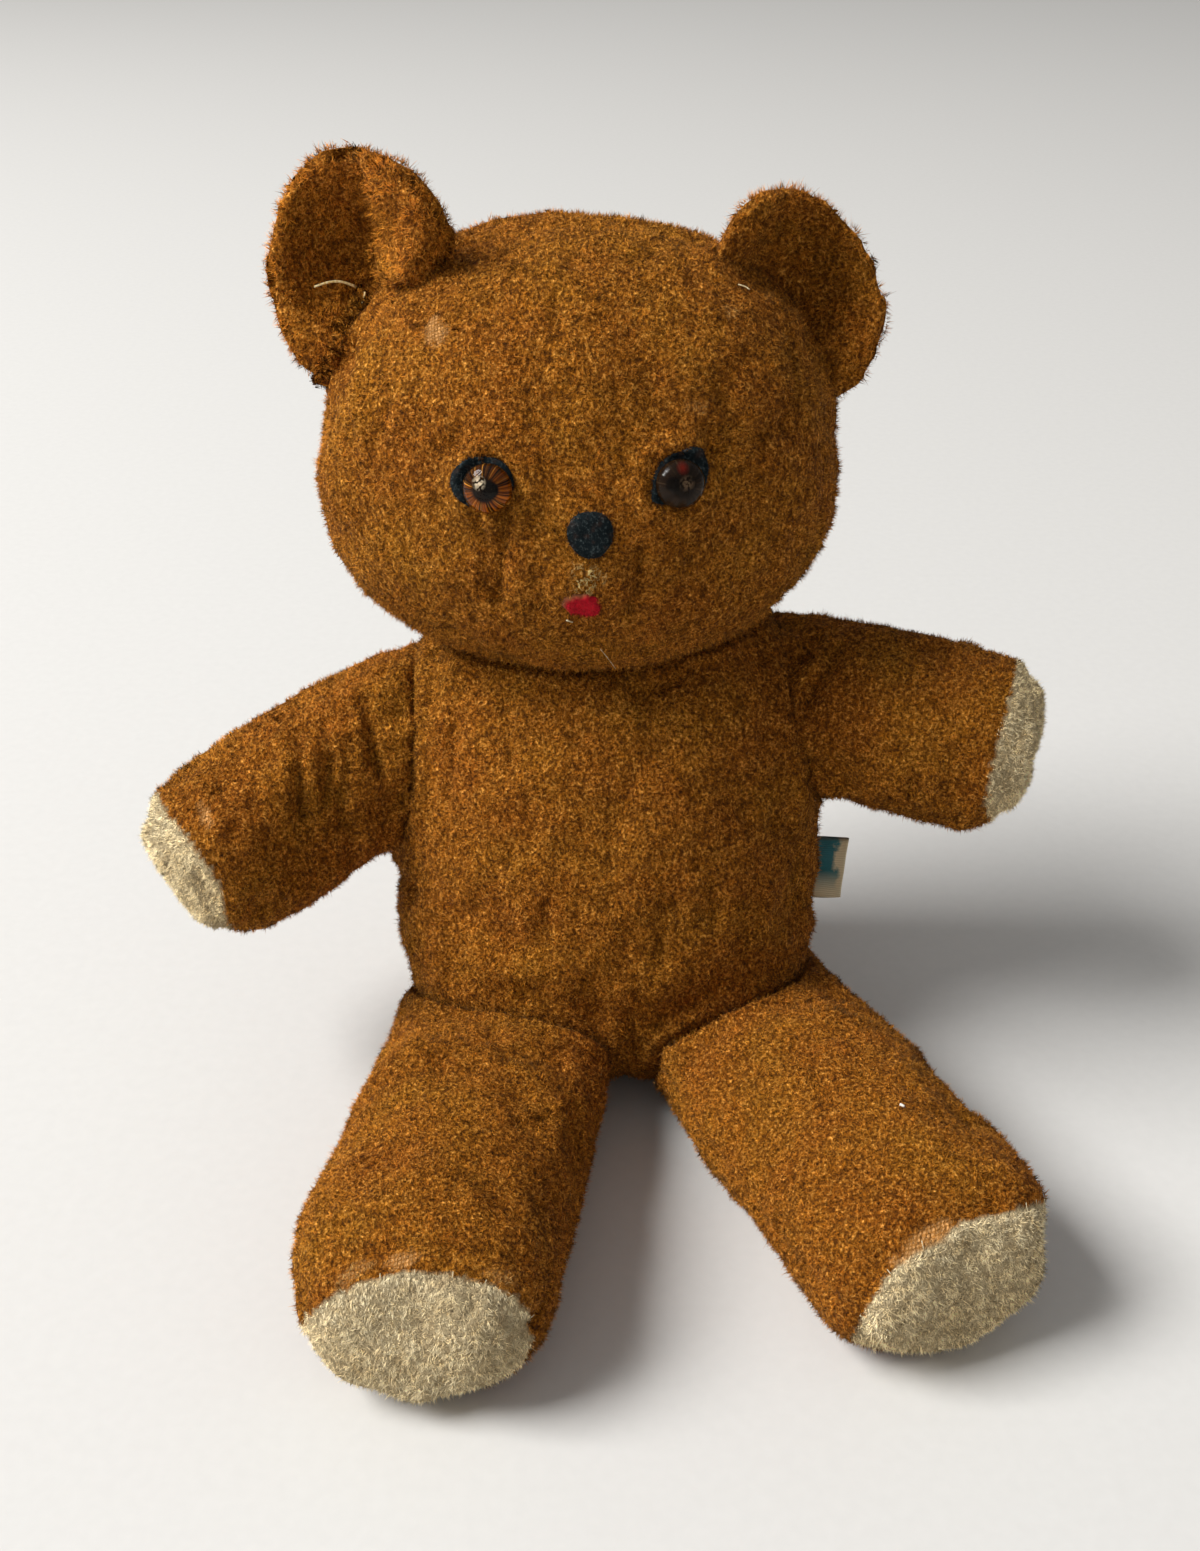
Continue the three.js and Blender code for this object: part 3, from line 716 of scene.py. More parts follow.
brownPile, tree = startMaterial("mattedMohairPlush")
pale = attribute(tree, "pilePale")
hue, _, light = mattedPile(tree, objectPlace(tree))
alongFibre = blend(tree, attribute(tree, "pileTip"), pileColours["root"], hue)
wornColour = blend(tree, pale, alongFibre, pileColours["worn"])
# the tone carries random variation and the painted shade and painted light given to the fibres
spread = ranged(tree, attribute(tree, "pileTone"), 0, 1, 0.35, 1.75)
capped = maths(tree, "MINIMUM", times(tree, spread, light), 1.5)
strength = addNode(tree, "ShaderNodeMix", {3: 0.85}, {0: times(tree, pale, 0.65), 2: capped}, data_type="FLOAT")
finished(tree, {"Roughness": 0.85, "Specular IOR Level": 0.15, "Sheen Weight": 0.1, "Sheen Roughness": 0.5,
                "Sheen Tint": linear("#e6b070")},
         scaled(tree, wornColour, strength.outputs[0]), outwardNormal(tree))

# pad plush: cream wool pile, napped short and felted by wear, greyed with soil in small patches
creamColours = {"root": "#f2d69f", "tip": "#fff2cc", "soil": "#c2a26c", "yellowed": "#ffe2a6"}
padPattern = {"soil": 4.0, "aged": 30.0, "tuft": 1.0}   # mm
creamPile, tree = startMaterial("feltedWoolPile")
place = objectPlace(tree)
aged = ranged(tree, noise(tree, place, padPattern["aged"] * mm, 2), 0.4, 0.65, 0.0, 0.7)
soil = ranged(tree, noise(tree, place, padPattern["soil"] * mm, 4, 0.7), 0.46, 0.64, 0.0, 0.7)
tuft = ranged(tree, noise(tree, place, padPattern["tuft"] * mm, 3, 0.65), 0.36, 0.64, 0.74, 1.36)
clean = blend(tree, aged, creamColours["tip"], creamColours["yellowed"])
soiled = blend(tree, soil, clean, creamColours["soil"])
alongFibre = blend(tree, attribute(tree, "pileTip"), creamColours["root"], soiled)
# the tone carries random variation and the painted light on the pads
spread = ranged(tree, attribute(tree, "pileTone"), 0, 1, 0.68, 1.36)
finished(tree, {"Roughness": 0.9, "Specular IOR Level": 0.2},
         scaled(tree, alongFibre, times(tree, spread, tuft)), outwardNormal(tree))

# cotton back: plain-woven cloth that carries the pile, dyed with it and bare where the pile is gone.
# Threads lie 0.55 mm apart on such cloth and are drawn 0.9 mm apart, so that the weave shows.
backColours = {"bareLight": "#ffbc72", "bareDark": "#d08c44", "padDark": "#b8986a", "pad": "#ffeabb"}
threadGap = 0.9 * mm
cottonBack, tree = startMaterial("plainWovenCotton")
place = objectPlace(tree)
turned = mapped(tree, place, Rotation=(0.5, 0.3, 0.6))
warp, weft = (waves(tree, turned, threadGap, way, {"Distortion": 1.5, "Detail": 1, "Detail Scale": 2})
              for way in ("X", "Z"))
weave = times(tree, warp, weft)
bareColour = blend(tree, ranged(tree, weave, 0.03, 0.4), backColours["bareDark"], backColours["bareLight"])
hue, fine, light = mattedPile(tree, place)
# the dyed back takes the pile's colour with its painted highlight on the crests and painted shade in the pits
dyed = blend(tree, 0.3, scaled(tree, hue, light), pileColours["root"])
soil = noise(tree, place, padPattern["soil"] * mm, 4, 0.7)
dyedOrPad = blend(tree, attribute(tree, "cream"), dyed, blend(tree, soil, backColours["pad"], backColours["padDark"]))
colour = blend(tree, attribute(tree, "bare"), dyedOrPad, bareColour)
finished(tree, {"Roughness": 0.95, "Specular IOR Level": 0.15}, colour,
         bumped(tree, fine, 1.0, 0.001, bumped(tree, weave, 0.5, 0.0003)))
print("plush materials done")


# random spots on a body, by area
def scatter(facts, perSquareMm):
    triangles, places = facts["triangles"], facts["places"]
    a, b, c = (places[triangles[:, i]] for i in range(3))
    areas = np.linalg.norm(np.cross(b - a, c - a), axis=1) / 2
    counts = dice.poisson(areas * perSquareMm * 1e6)
    which = np.repeat(np.arange(len(triangles)), counts)
    one, two = dice.random(len(which)), dice.random(len(which))
    flip = one + two > 1
    one, two = np.where(flip, 1 - one, one), np.where(flip, 1 - two, two)
    return triangles[which], np.stack([1 - one - two, one, two], 1)


def carried(values, spots):
    corners, shares = spots
    if values.ndim == 1:
        return (values[corners] * shares).sum(1)
    return (values[corners] * shares[:, :, None]).sum(1)


# a mesh of thin fibres, one triangle each, with a map that gives each its own cell
def fibreMesh(name, roots, tips, sides, normals, tones, pales):
    count = len(roots)
    places = np.stack([roots - sides, roots + sides, tips], 1).reshape(-1, 3)
    places[:, 2] = np.maximum(places[:, 2], 0.2 * mm)
    mesh = bpy.data.meshes.new(name)
    mesh.vertices.add(count * 3)
    mesh.vertices.foreach_set("co", places.ravel())
    mesh.loops.add(count * 3)
    mesh.loops.foreach_set("vertex_index", np.arange(count * 3, dtype=np.int32))
    mesh.polygons.add(count)
    mesh.polygons.foreach_set("loop_start", np.arange(0, count * 3, 3, dtype=np.int32))
    mesh.polygons.foreach_set("use_smooth", np.ones(count, bool))
    mesh.update(calc_edges=True)
    putValues(mesh, "pileTip", np.tile([0.0, 0.0, 1.0], count))
    putValues(mesh, "pileTone", np.repeat(tones, 3))
    putValues(mesh, "pilePale", np.repeat(pales, 3))
    across = math.ceil(math.sqrt(count))
    cell = np.stack([np.arange(count) % across, np.arange(count) // across], 1)
    corner = np.array([[0.15, 0.15], [0.85, 0.15], [0.5, 0.85]])
    layer = mesh.uv_layers.new(name="OFBake")
    layer.data.foreach_set("uv", ((cell[:, None, :] + corner[None]) / across).ravel())
    mesh.normals_split_custom_set_from_vertices(np.repeat(normals, 3, axis=0))
    return mesh


# clumps of fibres that lean with the nap and stand in small tufts; style lengths in mm.
# Where a spot is ribbed, fibres lie flat and downward in rows.
def clumpFibres(spots, style, nap, seed):
    place, normal, bare, pale, dark, ribbed = spots
    count, each = len(place), style["perClump"]
    tuft = lumps(place, style["tuftSize"] * mm, seed + 5)
    step = 0.2 * mm
    slope = np.stack([lumps(place + step * way, style["tuftSize"] * mm, seed + 5) - tuft for way in np.eye(3)], 1)
    slope *= style["tuft"] * mm / step
    slope -= (slope * normal).sum(1, keepdims=True) * normal
    leaning = unit(normal - slope)
    place = place + normal * (style["tuft"] * mm * tuft * (1 - bare))[:, None]
    flow = np.tile(np.array(nap), (count, 1))
    swirl = style["swirl"] * lumps(place, 14 * mm, seed) * math.pi + dice.normal(0, style["stray"], count)
    swirl *= 1 - ribbed
    flow[ribbed > 0.5] = (0, -0.2, -1)
    flow = flow - (flow * normal).sum(1, keepdims=True) * normal
    weak = np.linalg.norm(flow, axis=1) < 0.15
    flow[weak] += np.cross(normal[weak], [0.3, 0.9, 0.2])
    flow = unit(flow)
    side = np.cross(normal, flow)
    flow = flow * np.cos(swirl)[:, None] + side * np.sin(swirl)[:, None]
    spread = style["liftSpread"] * dice.normal(0, 1, count)
    lift = np.radians(style["lift"] + spread + 12 * lumps(place, 6 * mm, seed + 1))
    lift = np.clip(lift * (1 - 0.75 * ribbed), 0.12, 1.45)
    way = leaning * np.sin(lift)[:, None] + flow * np.cos(lift)[:, None]
    uneven = 1 + 0.2 * dice.normal(0, 1, count) + 0.2 * lumps(place, 9 * mm, seed + 2)
    tall = style["length"] * mm * np.clip(uneven, 0.35, 1.8)
    tall *= 1 - 0.93 * bare
    rows = 0.7 + 0.5 * np.sin(place[:, 0] * 2 * math.pi / (style["rows"] * mm))
    # painted shade: the body's dark and low-lying tufts lower a fibre's tone; a dark below 0 is painted light
    tone = 0.5 + style["mottle"] * dice.normal(0, 1, count) + style["tuftPaintedShade"] * tuft - dark
    tone = np.clip(tone + (rows - tone) * ribbed, 0, 1)
    place, leaning, way, flow, tall, tone, pale, bare, ribbed = (
        np.repeat(x, each, axis=0) for x in (place, leaning, way, flow, tall, tone, pale, bare, ribbed))
    total = len(place)
    side = unit(np.cross(leaning, flow))
    offset = (flow * dice.normal(0, style["clumpSize"], total)[:, None]
              + side * dice.normal(0, style["clumpSize"], total)[:, None]) * mm * (1 - 0.75 * ribbed)[:, None]
    long = dice.random(total) < 0.02
    tall = tall * np.clip(1 + 0.22 * dice.normal(0, 1, total), 0.4, 1.6) * np.where(long, 1.6, 1)
    bent = unit(way + 0.3 * dice.normal(0, 1, (total, 3)))
    roots = place + offset - leaning * 0.25 * mm
    tips = place + offset * style["gather"] + bent * tall[:, None]
    blade = unit(np.cross(bent, leaning) + 0.25 * dice.normal(0, 1, (total, 3)))
    wide = style["width"] * mm * dice.uniform(0.7, 1.2, total) * np.where(long, 0.6, 1)
    blade = blade * wide[:, None] / 2
    facing = np.cross(2 * blade, tips - roots)
    flip = (facing * leaning).sum(1) < 0
    blade[flip] *= -1
    facing = unit(np.cross(2 * blade, tips - roots))
    shadeNormal = unit(leaning * 0.85 + facing * 0.3 + np.array([0, 0, style["upward"]]))
    tone = np.clip(tone + style["fibreTone"] * dice.normal(0, 1, total), 0, 1)
    keep = bare < 0.6
    return [x[keep] for x in (roots, tips, blade, shadeNormal, tone, pale)]


brownStyle = {"clumpsPerSquareMm": 0.83, "perClump": 4, "length": 1.35, "width": 0.26, "lift": 52, "liftSpread": 18,
              "swirl": 1.0, "stray": 1.5, "clumpSize": 0.5, "gather": 0.45, "mottle": 0.15, "tuft": 0.48,
              "tuftSize": 1.3, "rows": 1.2, "fibreTone": 0.17, "tuftPaintedShade": 0.12, "upward": 0.0}
earStyle = dict(brownStyle, length=1.9, tuft=1.3, tuftSize=2.8, tuftPaintedShade=0.46, upward=0.3)
creamStyle = {"clumpsPerSquareMm": 1.15, "perClump": 4, "length": 1.3, "width": 0.22, "lift": 38, "liftSpread": 18,
              "swirl": 1.0, "stray": 1.6, "clumpSize": 0.5, "gather": 0.6, "mottle": 0.18, "tuft": 0.2,
              "tuftSize": 1.6, "rows": 1.6, "fibreTone": 0.2, "tuftPaintedShade": 0.16, "upward": 0.4}


def newPiece(name, mesh, material, replaced=()):
    mesh.materials.append(material)
    piece = bpy.data.objects.new(name, mesh)
    scene.collection.objects.link(piece)
    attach(piece, "root")
    if replaced:
        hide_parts(*replaced)
    return piece


# felt patches on the face; outlines are radii in mm by angle from the viewer's right, anticlockwise
def polar(corners):
    angles = np.radians([c[0] for c in corners])
    radii = np.array([c[1] for c in corners], float)
    return lambda angle: np.interp(np.mod(angle, 2 * math.pi), angles, radii, period=2 * math.pi) * mm


feltPatches = {
    "right_eye_felt_back": {
        "node": "right_eye_felt", "slot": "black_felt", "thick": 1.3, "eye": "right", "aside": (-1.4, 0.9),
        "outline": polar([(0, 7.6), (40, 7.4), (90, 6.5), (140, 7.6), (170, 9.0), (185, 9.2), (215, 8.4), (270, 6.6),
                          (320, 7.0)]),
    },
    "left_eye_felt_back": {
        "node": "left_eye_felt", "slot": "black_felt", "thick": 1.3, "eye": "left", "aside": (0.9, 1.2),
        "outline": polar([(0, 7.6), (25, 8.6), (45, 9.4), (65, 8.4), (90, 6.6), (150, 6.4), (190, 7.4), (212, 9.6),
                          (235, 8.0), (270, 6.6), (320, 6.8)]),
    },
    "nose_felt_disc": {
        "node": "nose_felt", "slot": "black_felt", "thick": 1.5, "eye": None,
        "outline": polar([(0, 6.1), (45, 6.2), (90, 5.7), (135, 6.1), (180, 5.9), (225, 5.9), (262, 6.5), (290, 6.6),
                          (320, 6.2)]),
    },
    "mouth_felt_rest": {
        "node": "mouth_felt", "slot": "red_felt", "thick": 1.4, "eye": None,
        "outline": polar([(0, 4.4), (14, 4.0), (25, 4.5), (50, 3.6), (70, 4.0), (92, 3.5), (118, 4.3), (140, 4.4),
                          (152, 5.6), (166, 5.0), (180, 5.3), (205, 4.1), (222, 4.3), (240, 3.4), (256, 3.8),
                          (275, 3.9), (296, 4.8), (318, 5.6), (340, 5.2)]),
    },
}
headTree = trees["head"]
for name, patch in feltPatches.items():
    middlePoint = meanOf(patch["node"])
    if patch["eye"]:
        stand = eyeStands[patch["eye"]]
        normal, right = stand["axis"], stand["across"]
        middlePoint = stand["base"] + (right * patch["aside"][0] + stand["upward"] * patch["aside"][1]) * mm
    else:
        normal = np.array(headTree.find_nearest(Vector(middlePoint))[1])
        right = unit(np.cross([0, 0, 1], normal))
    up = np.cross(normal, right)
    spot = headTree.ray_cast(Vector(middlePoint + normal * 12 * mm), Vector(-normal))[0]
    patch.update(centre=np.array(spot), normal=normal, right=right, up=up)


# true for spots that a felt patch covers
def underFelt(points):
    hidden = np.zeros(len(points), bool)
    for patch in feltPatches.values():
        gap = points - patch["centre"]
        x, y = gap @ patch["right"], gap @ patch["up"]
        close = np.abs(gap @ patch["normal"]) < 14 * mm
        hidden |= close & (np.hypot(x, y) < patch["outline"](np.arctan2(y, x)) * 0.97)
    return hidden


# the knit shows as ribs in a band at the top of a foot pad, this many mm deep
ribBands = {"right_leg": 7.0, "left_leg": 2.0}
# painted light on each pad, a share added to its tone; the left pads, turned from the lamp, get the most
padPaintedLight = {"left_leg": 0.42, "left_arm": 0.36, "right_leg": 0.08, "right_arm": 0.06}
pileCount = 0
for order, (key, body) in enumerate(bodies.items()):
    settings, facts = members[key], bodyFacts[key]
    body.data.materials.clear()
    body.data.materials.append(cottonBack)
    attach(body, "root")
    if settings["core"]:
        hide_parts(settings["core"])
    for number, cloth in enumerate(clothsOf(key)):
        isPad = cloth == settings["pad"]
        style = creamStyle if isPad else (earStyle if settings["core"] is None else brownStyle)
        spots = scatter(facts, style["clumpsPerSquareMm"])
        nearest = np.argmin(carried(facts["away"][:, :len(settings["panels"])], spots), 1)
        inside = carried(facts["pad"], spots)
        keep = inside > 0 if isPad else (~(inside > 0) & (nearest == number))
        keep &= carried(facts["covered"], spots) < 0.5
        if key == "head":
            keep &= ~underFelt(carried(facts["places"], spots))
        spots, inside = (spots[0][keep], spots[1][keep]), inside[keep]
        ribbed = np.zeros(len(inside))
        if isPad and key in ribBands:
            height = carried(facts["places"], spots)[:, 2] - middle(cloth)[2]
            ribbed = ease(height, 0, 8 * mm) * (1 - ease(inside, 0.6 * ribBands[key] * mm, ribBands[key] * mm))
        # painted light on the pads; on the brown cloth, the body's painted shade and a painted shade line along the
        # pad's edge
        if isPad:
            paintedShading = np.full(len(ribbed), -padPaintedLight[key])
        else:
            paintedShading = carried(facts["dark"], spots) + 0.3 * np.exp(-(inside / (1.4 * mm)) ** 2)
        chosen = (carried(facts["places"], spots), unit(carried(facts["normals"], spots)),
                  carried(facts["bare"], spots), carried(facts["pale"], spots), paintedShading, ribbed)
        mesh = fibreMesh(cloth + "_pile", *clumpFibres(chosen, style, settings["nap"], 60 + 10 * order))
        mesh.materials.append(creamPile if isPad else brownPile)
        pile = bpy.data.objects.new(cloth + "_pile", mesh)
        scene.collection.objects.link(pile)
        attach(pile, "root")
        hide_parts(cloth)
        pileCount += len(mesh.polygons)
        print("pile", cloth, len(mesh.polygons))
print("pile fibres in all", pileCount)

# felt: wool fibres matted flat, cut with a soft edge, dusty on top.
# The eye gets a dull nap with single fibres standing off it.
feltColours = {
    "blueBlackFelt": {"root": "#0a1012", "tip": "#1b272b", "dust": "#5f6867", "dustShare": 0.6, "rubbed": "#7c4c30"},
    "tornRedFelt": {"root": "#900d1b", "tip": "#d81f30", "dust": "#8e3a30", "dustShare": 0.5, "rubbed": "#7c4c30"},
}
gritSize = 0.8 * mm
feltMaterials = {}
for name, colours in feltColours.items():
    feltMaterials[name], tree = startMaterial(name)
    grit = noise(tree, objectPlace(tree), gritSize, 3, 0.7)
    along = blend(tree, attribute(tree, "pileTip"), colours["root"], colours["tip"])
    dusted = blend(tree, ranged(tree, grit, 0.54, 0.7, 0.0, colours["dustShare"]), along, colours["dust"])
    worn = blend(tree, attribute(tree, "pilePale"), dusted, colours["rubbed"])
    spread = ranged(tree, attribute(tree, "pileTone"), 0, 1, 0.4, 1.7)
    finished(tree, {"Roughness": 0.95, "Specular IOR Level": 0.15}, scaled(tree, worn, spread),
             bumped(tree, grit, 0.7, 0.0004))

feltNap = {"clumpsPerSquareMm": 3.0, "perClump": 3, "length": 0.85, "width": 0.2, "lift": 35, "liftSpread": 20,
           "swirl": 1.0, "stray": 1.5, "clumpSize": 0.25, "gather": 0.7, "mottle": 0.2,
           "tuft": 0.08, "tuftSize": 1.2, "rows": 1.0, "fibreTone": 0.25, "tuftPaintedShade": 0.12, "upward": 0.0}
feltRings, feltSteps = 9, 72
for name, patch in feltPatches.items():
    tops, unders = [], []
    for ring in range(feltRings + 1):
        share = ring / feltRings
        for step in range(feltSteps if ring else 1):
            angle = 2 * math.pi * step / feltSteps
            reach = patch["outline"](angle) * share
            point = patch["centre"] + reach * (math.cos(angle) * patch["right"] + math.sin(angle) * patch["up"])
            spot = headTree.ray_cast(Vector(point + patch["normal"] * 14 * mm), Vector(-patch["normal"]))[0]
            ground = np.array(spot) if spot else point
            thick = patch["thick"] * (1 - 0.55 * share ** 8) * mm
            top = ground + patch["normal"] * thick
            if patch["eye"] and reach < 6.3 * mm:
                top -= patch["normal"] * max(0, (top - eyeStands[patch["eye"]]["base"]) @ patch["normal"] + 1.4 * mm)
            tops.append(top)
            unders.append(ground - patch["normal"] * 0.8 * mm)
    tops = np.array(tops)
    tops += patch["normal"] * (0.18 * mm * lumps(tops, 2.2 * mm, 71))[:, None]
    count = len(tops)
    first = lambda ring: 1 + (ring - 1) * feltSteps
    faces = []
    for step in range(feltSteps):
        after = (step + 1) % feltSteps
        faces.append((0, 1 + step, 1 + after))
        faces.append((count, count + 1 + after, count + 1 + step))
        for ring in range(1, feltRings):
            a, b = first(ring), first(ring + 1)
            faces.append((a + step, b + step, b + after, a + after))
            faces.append((count + a + step, count + a + after, count + b + after, count + b + step))
        edge = first(feltRings)
        faces.append((edge + step, count + edge + step, count + edge + after, edge + after))
    mesh = bpy.data.meshes.new(name)
    mesh.from_pydata([tuple(p) for p in tops] + [tuple(p) for p in unders], [], faces)
    mesh.update()
    places = placesOf(mesh)
    x, y = (places - patch["centre"]) @ patch["right"], (places - patch["centre"]) @ patch["up"]
    edgeShare = np.hypot(x, y) / patch["outline"](np.arctan2(y, x))
    if patch["slot"] == "red_felt":   # the upper corner on the bear's right is rubbed to the glue
        paleField = ease(edgeShare, 0.8, 0.97) * ease(y - x, 1 * mm, 4 * mm)
        paleField = np.maximum(paleField, 0.75 * ease(y - 0.9 * x, 4.6 * mm, 6.2 * mm))
    else:
        paleField = 0.12 * ease(lumps(places, 1.6 * mm, 72), 0.2, 0.8)
    putValues(mesh, "pileTip", np.full(len(places), 0.35))
    putValues(mesh, "pileTone", 0.5 + 0.3 * lumps(places, 1.4 * mm, 73))
    putValues(mesh, "pilePale", paleField)
    smoothFaces(mesh)
    material = feltMaterials["tornRedFelt" if patch["slot"] == "red_felt" else "blueBlackFelt"]
    newPiece(name, mesh, material, [patch["node"]])
    mesh.calc_loop_triangles()
    triangles = np.array([t.vertices for t in mesh.loop_triangles])
    facts = {"triangles": triangles, "places": places, "normals": normalsOf(mesh)}
    spots = scatter(facts, feltNap["clumpsPerSquareMm"])
    up = carried(facts["normals"], spots) @ patch["normal"] > 0.1
    spots = (spots[0][up], spots[1][up])
    if patch["eye"]:   # the disc hides the middle
        gap = carried(places, spots) - patch["centre"]
        outer = np.hypot(gap @ patch["right"], gap @ patch["up"]) > 5.6 * mm
        spots = (spots[0][outer], spots[1][outer])
    chosen = (carried(places, spots), unit(carried(facts["normals"], spots)), np.zeros(len(spots[0])),
              carried(paleField, spots), np.zeros(len(spots[0])), np.zeros(len(spots[0])))
    nap = fibreMesh(name + "_nap", *clumpFibres(chosen, feltNap, (0.2, 0, -1), 75))
    newPiece(name + "_nap", nap, material)
print("felt done")


# a turned shape about z, from (radius, height) pairs in mm
def turnedMesh(name, profile, steps=72):
    places, rings, faces = [], [], []
    for radius, height in profile:
        if radius == 0:
            rings.append([len(places)])
            places.append((0, 0, height * mm))
            continue
        rings.append(list(range(len(places), len(places) + steps)))
        places += [(radius * mm * math.cos(2 * math.pi * i / steps), radius * mm * math.sin(2 * math.pi * i / steps),
                    height * mm) for i in range(steps)]
    for low, high in zip(rings[:-1], rings[1:]):
        for i in range(steps):
            j = (i + 1) % steps
            corners = [low[i % len(low)], low[j % len(low)], high[j % len(high)], high[i % len(high)]]
            faces.append(list(dict.fromkeys(corners)))
    mesh = bpy.data.meshes.new(name)
    mesh.from_pydata(places, [], faces)
    smoothFaces(mesh)
    return mesh


# the profile of a dome from its foot to its top, mm
def domeProfile(radius, low, rise, step):
    angles = [math.radians(a) for a in range(step, 90, step)]
    return [(radius * math.cos(a), low + rise * math.sin(a)) for a in angles] + [(0, low + rise)]


# how much of a round spot there is: all inside the inner radius, none outside the outer one, mm
def nearSpot(tree, flat, at, inner, outer, most):
    away = addNode(tree, "ShaderNodeVectorMath", {1: (at[0] * mm, at[1] * mm, 0)}, {0: flat}, operation="DISTANCE")
    return ranged(tree, away.outputs["Value"], inner * mm, outer * mm, most, 0.0)


# eyes: a swelling foil-faced disc under a moulded acetate dome. The right one is clear, with a ring of foil
# lines round a black pupil and a painted reflection on the foil flakes; the left one has clouded, and only a painted
# red glint is left at its top.
eyeLooks = {
    "right": {"dark": "#160a03", "light": "#d0720f", "line": "#eaa640", "pupil": 2.2, "pupilAt": (1.7, 0.2),
              "pupilShare": 1.0, "glint": "#efe8da", "glintAt": (-1.4, 1.7), "glintSize": 2.1, "haze": 0.01,
              "hazeColour": "#b09a80", "lineShare": 0.9, "red": 0.0, "rough": 0.04, "index": 1.22},
    "left": {"dark": "#19110b", "light": "#3c2c20", "line": "#6d5a48", "pupil": 1.9, "pupilAt": (-2.8, 0.6),
             "pupilShare": 0.9, "glint": "#7d6a58", "glintAt": (0.8, 0.6), "glintSize": 2.4, "haze": 0.03,
             "hazeColour": "#5d4c3c", "lineShare": 0.3, "red": 0.6, "rough": 0.1, "index": 1.2},
}
for side, look in eyeLooks.items():
    stand = eyeStands[side]
    turn = Matrix((stand["across"], stand["upward"], stand["axis"])).transposed().to_4x4()
    stand["matrix"] = Matrix.Translation(Vector(stand["base"])) @ turn
    iris, tree = startMaterial(side + "EyeFoilPaper")
    place = objectPlace(tree)
    flat = addNode(tree, "ShaderNodeVectorMath", {1: (1, 1, 0)}, {0: place}, operation="MULTIPLY").outputs[0]
    reach = addNode(tree, "ShaderNodeVectorMath", None, {0: flat}, operation="LENGTH").outputs["Value"]
    spoke = addNode(tree, "ShaderNodeVectorMath", None, {0: flat}, operation="NORMALIZE").outputs[0]
    lowSide = addNode(tree, "ShaderNodeVectorMath", {1: (0.55, -0.83, 0)}, {0: spoke}, operation="DOT_PRODUCT")
    ring = ranged(tree, reach, 2.9 * mm, 3.9 * mm)
    glow = times(tree, ring, ranged(tree, lowSide.outputs["Value"], -0.8, 0.6, 0.08, 1.0))
    rays = ranged(tree, noise(tree, spoke, 1 / 8, 2, 0.6), 0.4, 0.62)
    lines = ranged(tree, noise(tree, spoke, 1 / 17, 1), 0.6, 0.68, 0.0, look["lineShare"])
    amber = blend(tree, times(tree, rays, glow), look["dark"], look["light"])
    lined = blend(tree, times(tree, lines, ring), amber, look["line"])
    pupil = nearSpot(tree, flat, look["pupilAt"], look["pupil"] * 0.85, look["pupil"] * 1.1, look["pupilShare"])
    withPupil = blend(tree, pupil, lined, "#050404")
    # painted reflection: foil flakes that catch the light beside the pupil
    glint = nearSpot(tree, flat, look["glintAt"], 0.3 * look["glintSize"], look["glintSize"], 1.0)
    flakes = addNode(tree, "ShaderNodeTexVoronoi", {"Scale": 1 / 0.0006}, {"Vector": place}).outputs["Color"]
    sparkled = blend(tree, times(tree, glint, ranged(tree, flakes, 0.35, 0.65)), withPupil, look["glint"])
    # painted glint: a red spot near the top of the disc
    red = nearSpot(tree, flat, (0.2, 4.3), 0.2, 1.9, look["red"])
    finished(tree, {"Roughness": 0.5, "Specular IOR Level": 0.0}, blend(tree, red, sparkled, "#8a1a08"))
    profile = [(0, -1.2), (5.6, -1.2), (6.1, -0.9), (6.2, 0.6)] + domeProfile(6.2, 0.6, 3.5, 8)
    disc = turnedMesh(side + "_eye_disc", profile)
    disc = newPiece(side + "_eye_disc", disc, iris, [side + "_eye_button"])
    disc.matrix_world = stand["matrix"]
    # the dome: clear, glossy, with fine scratches; haze is grime and clouding in the plastic
    dome, tree = startMaterial(side + "EyeAcetateDome")
    place = objectPlace(tree)
    scratches = noise(tree, mapped(tree, place, Rotation=(0, 0, 0.6), Scale=(1, 14, 1)), 2.2 * mm, 2)
    rough = ranged(tree, scratches, 0.55, 0.75, look["rough"], 0.16)
    haze = ranged(tree, noise(tree, place, 4 * mm, 4), 0.3, 0.7, look["haze"] * 0.4, look["haze"] * 1.6)
    clear = addNode(tree, "ShaderNodeBsdfTransparent", {"Color": linear("#f6eee0")})
    grime = addNode(tree, "ShaderNodeBsdfPrincipled", {"Base Color": linear(look["hazeColour"]), "Roughness": 0.5})
    plastic = addNode(tree, "ShaderNodeMixShader", None, {0: haze, 1: clear.outputs[0], 2: grime.outputs[0]})
    gloss = addNode(tree, "ShaderNodeBsdfGlossy", {"Color": (1, 1, 1, 1)}, {"Roughness": rough})
    mirror = addNode(tree, "ShaderNodeFresnel", {"IOR": look["index"]})
    shader = addNode(tree, "ShaderNodeMixShader", None,
                     {0: mirror.outputs[0], 1: plastic.outputs[0], 2: gloss.outputs[0]})
    addNode(tree, "ShaderNodeOutputMaterial", None, {"Surface": shader.outputs[0]})
    profile = [(6.2, 0.0), (6.5, 0.15), (6.5, 0.9)] + domeProfile(6.5, 1.0, 3.9, 6)
    lens = turnedMesh(side + "_eye_dome", profile)
    lens = newPiece(side + "_eye_dome", lens, dome, [side + "_eye_lens"])
    lens.matrix_world = stand["matrix"]

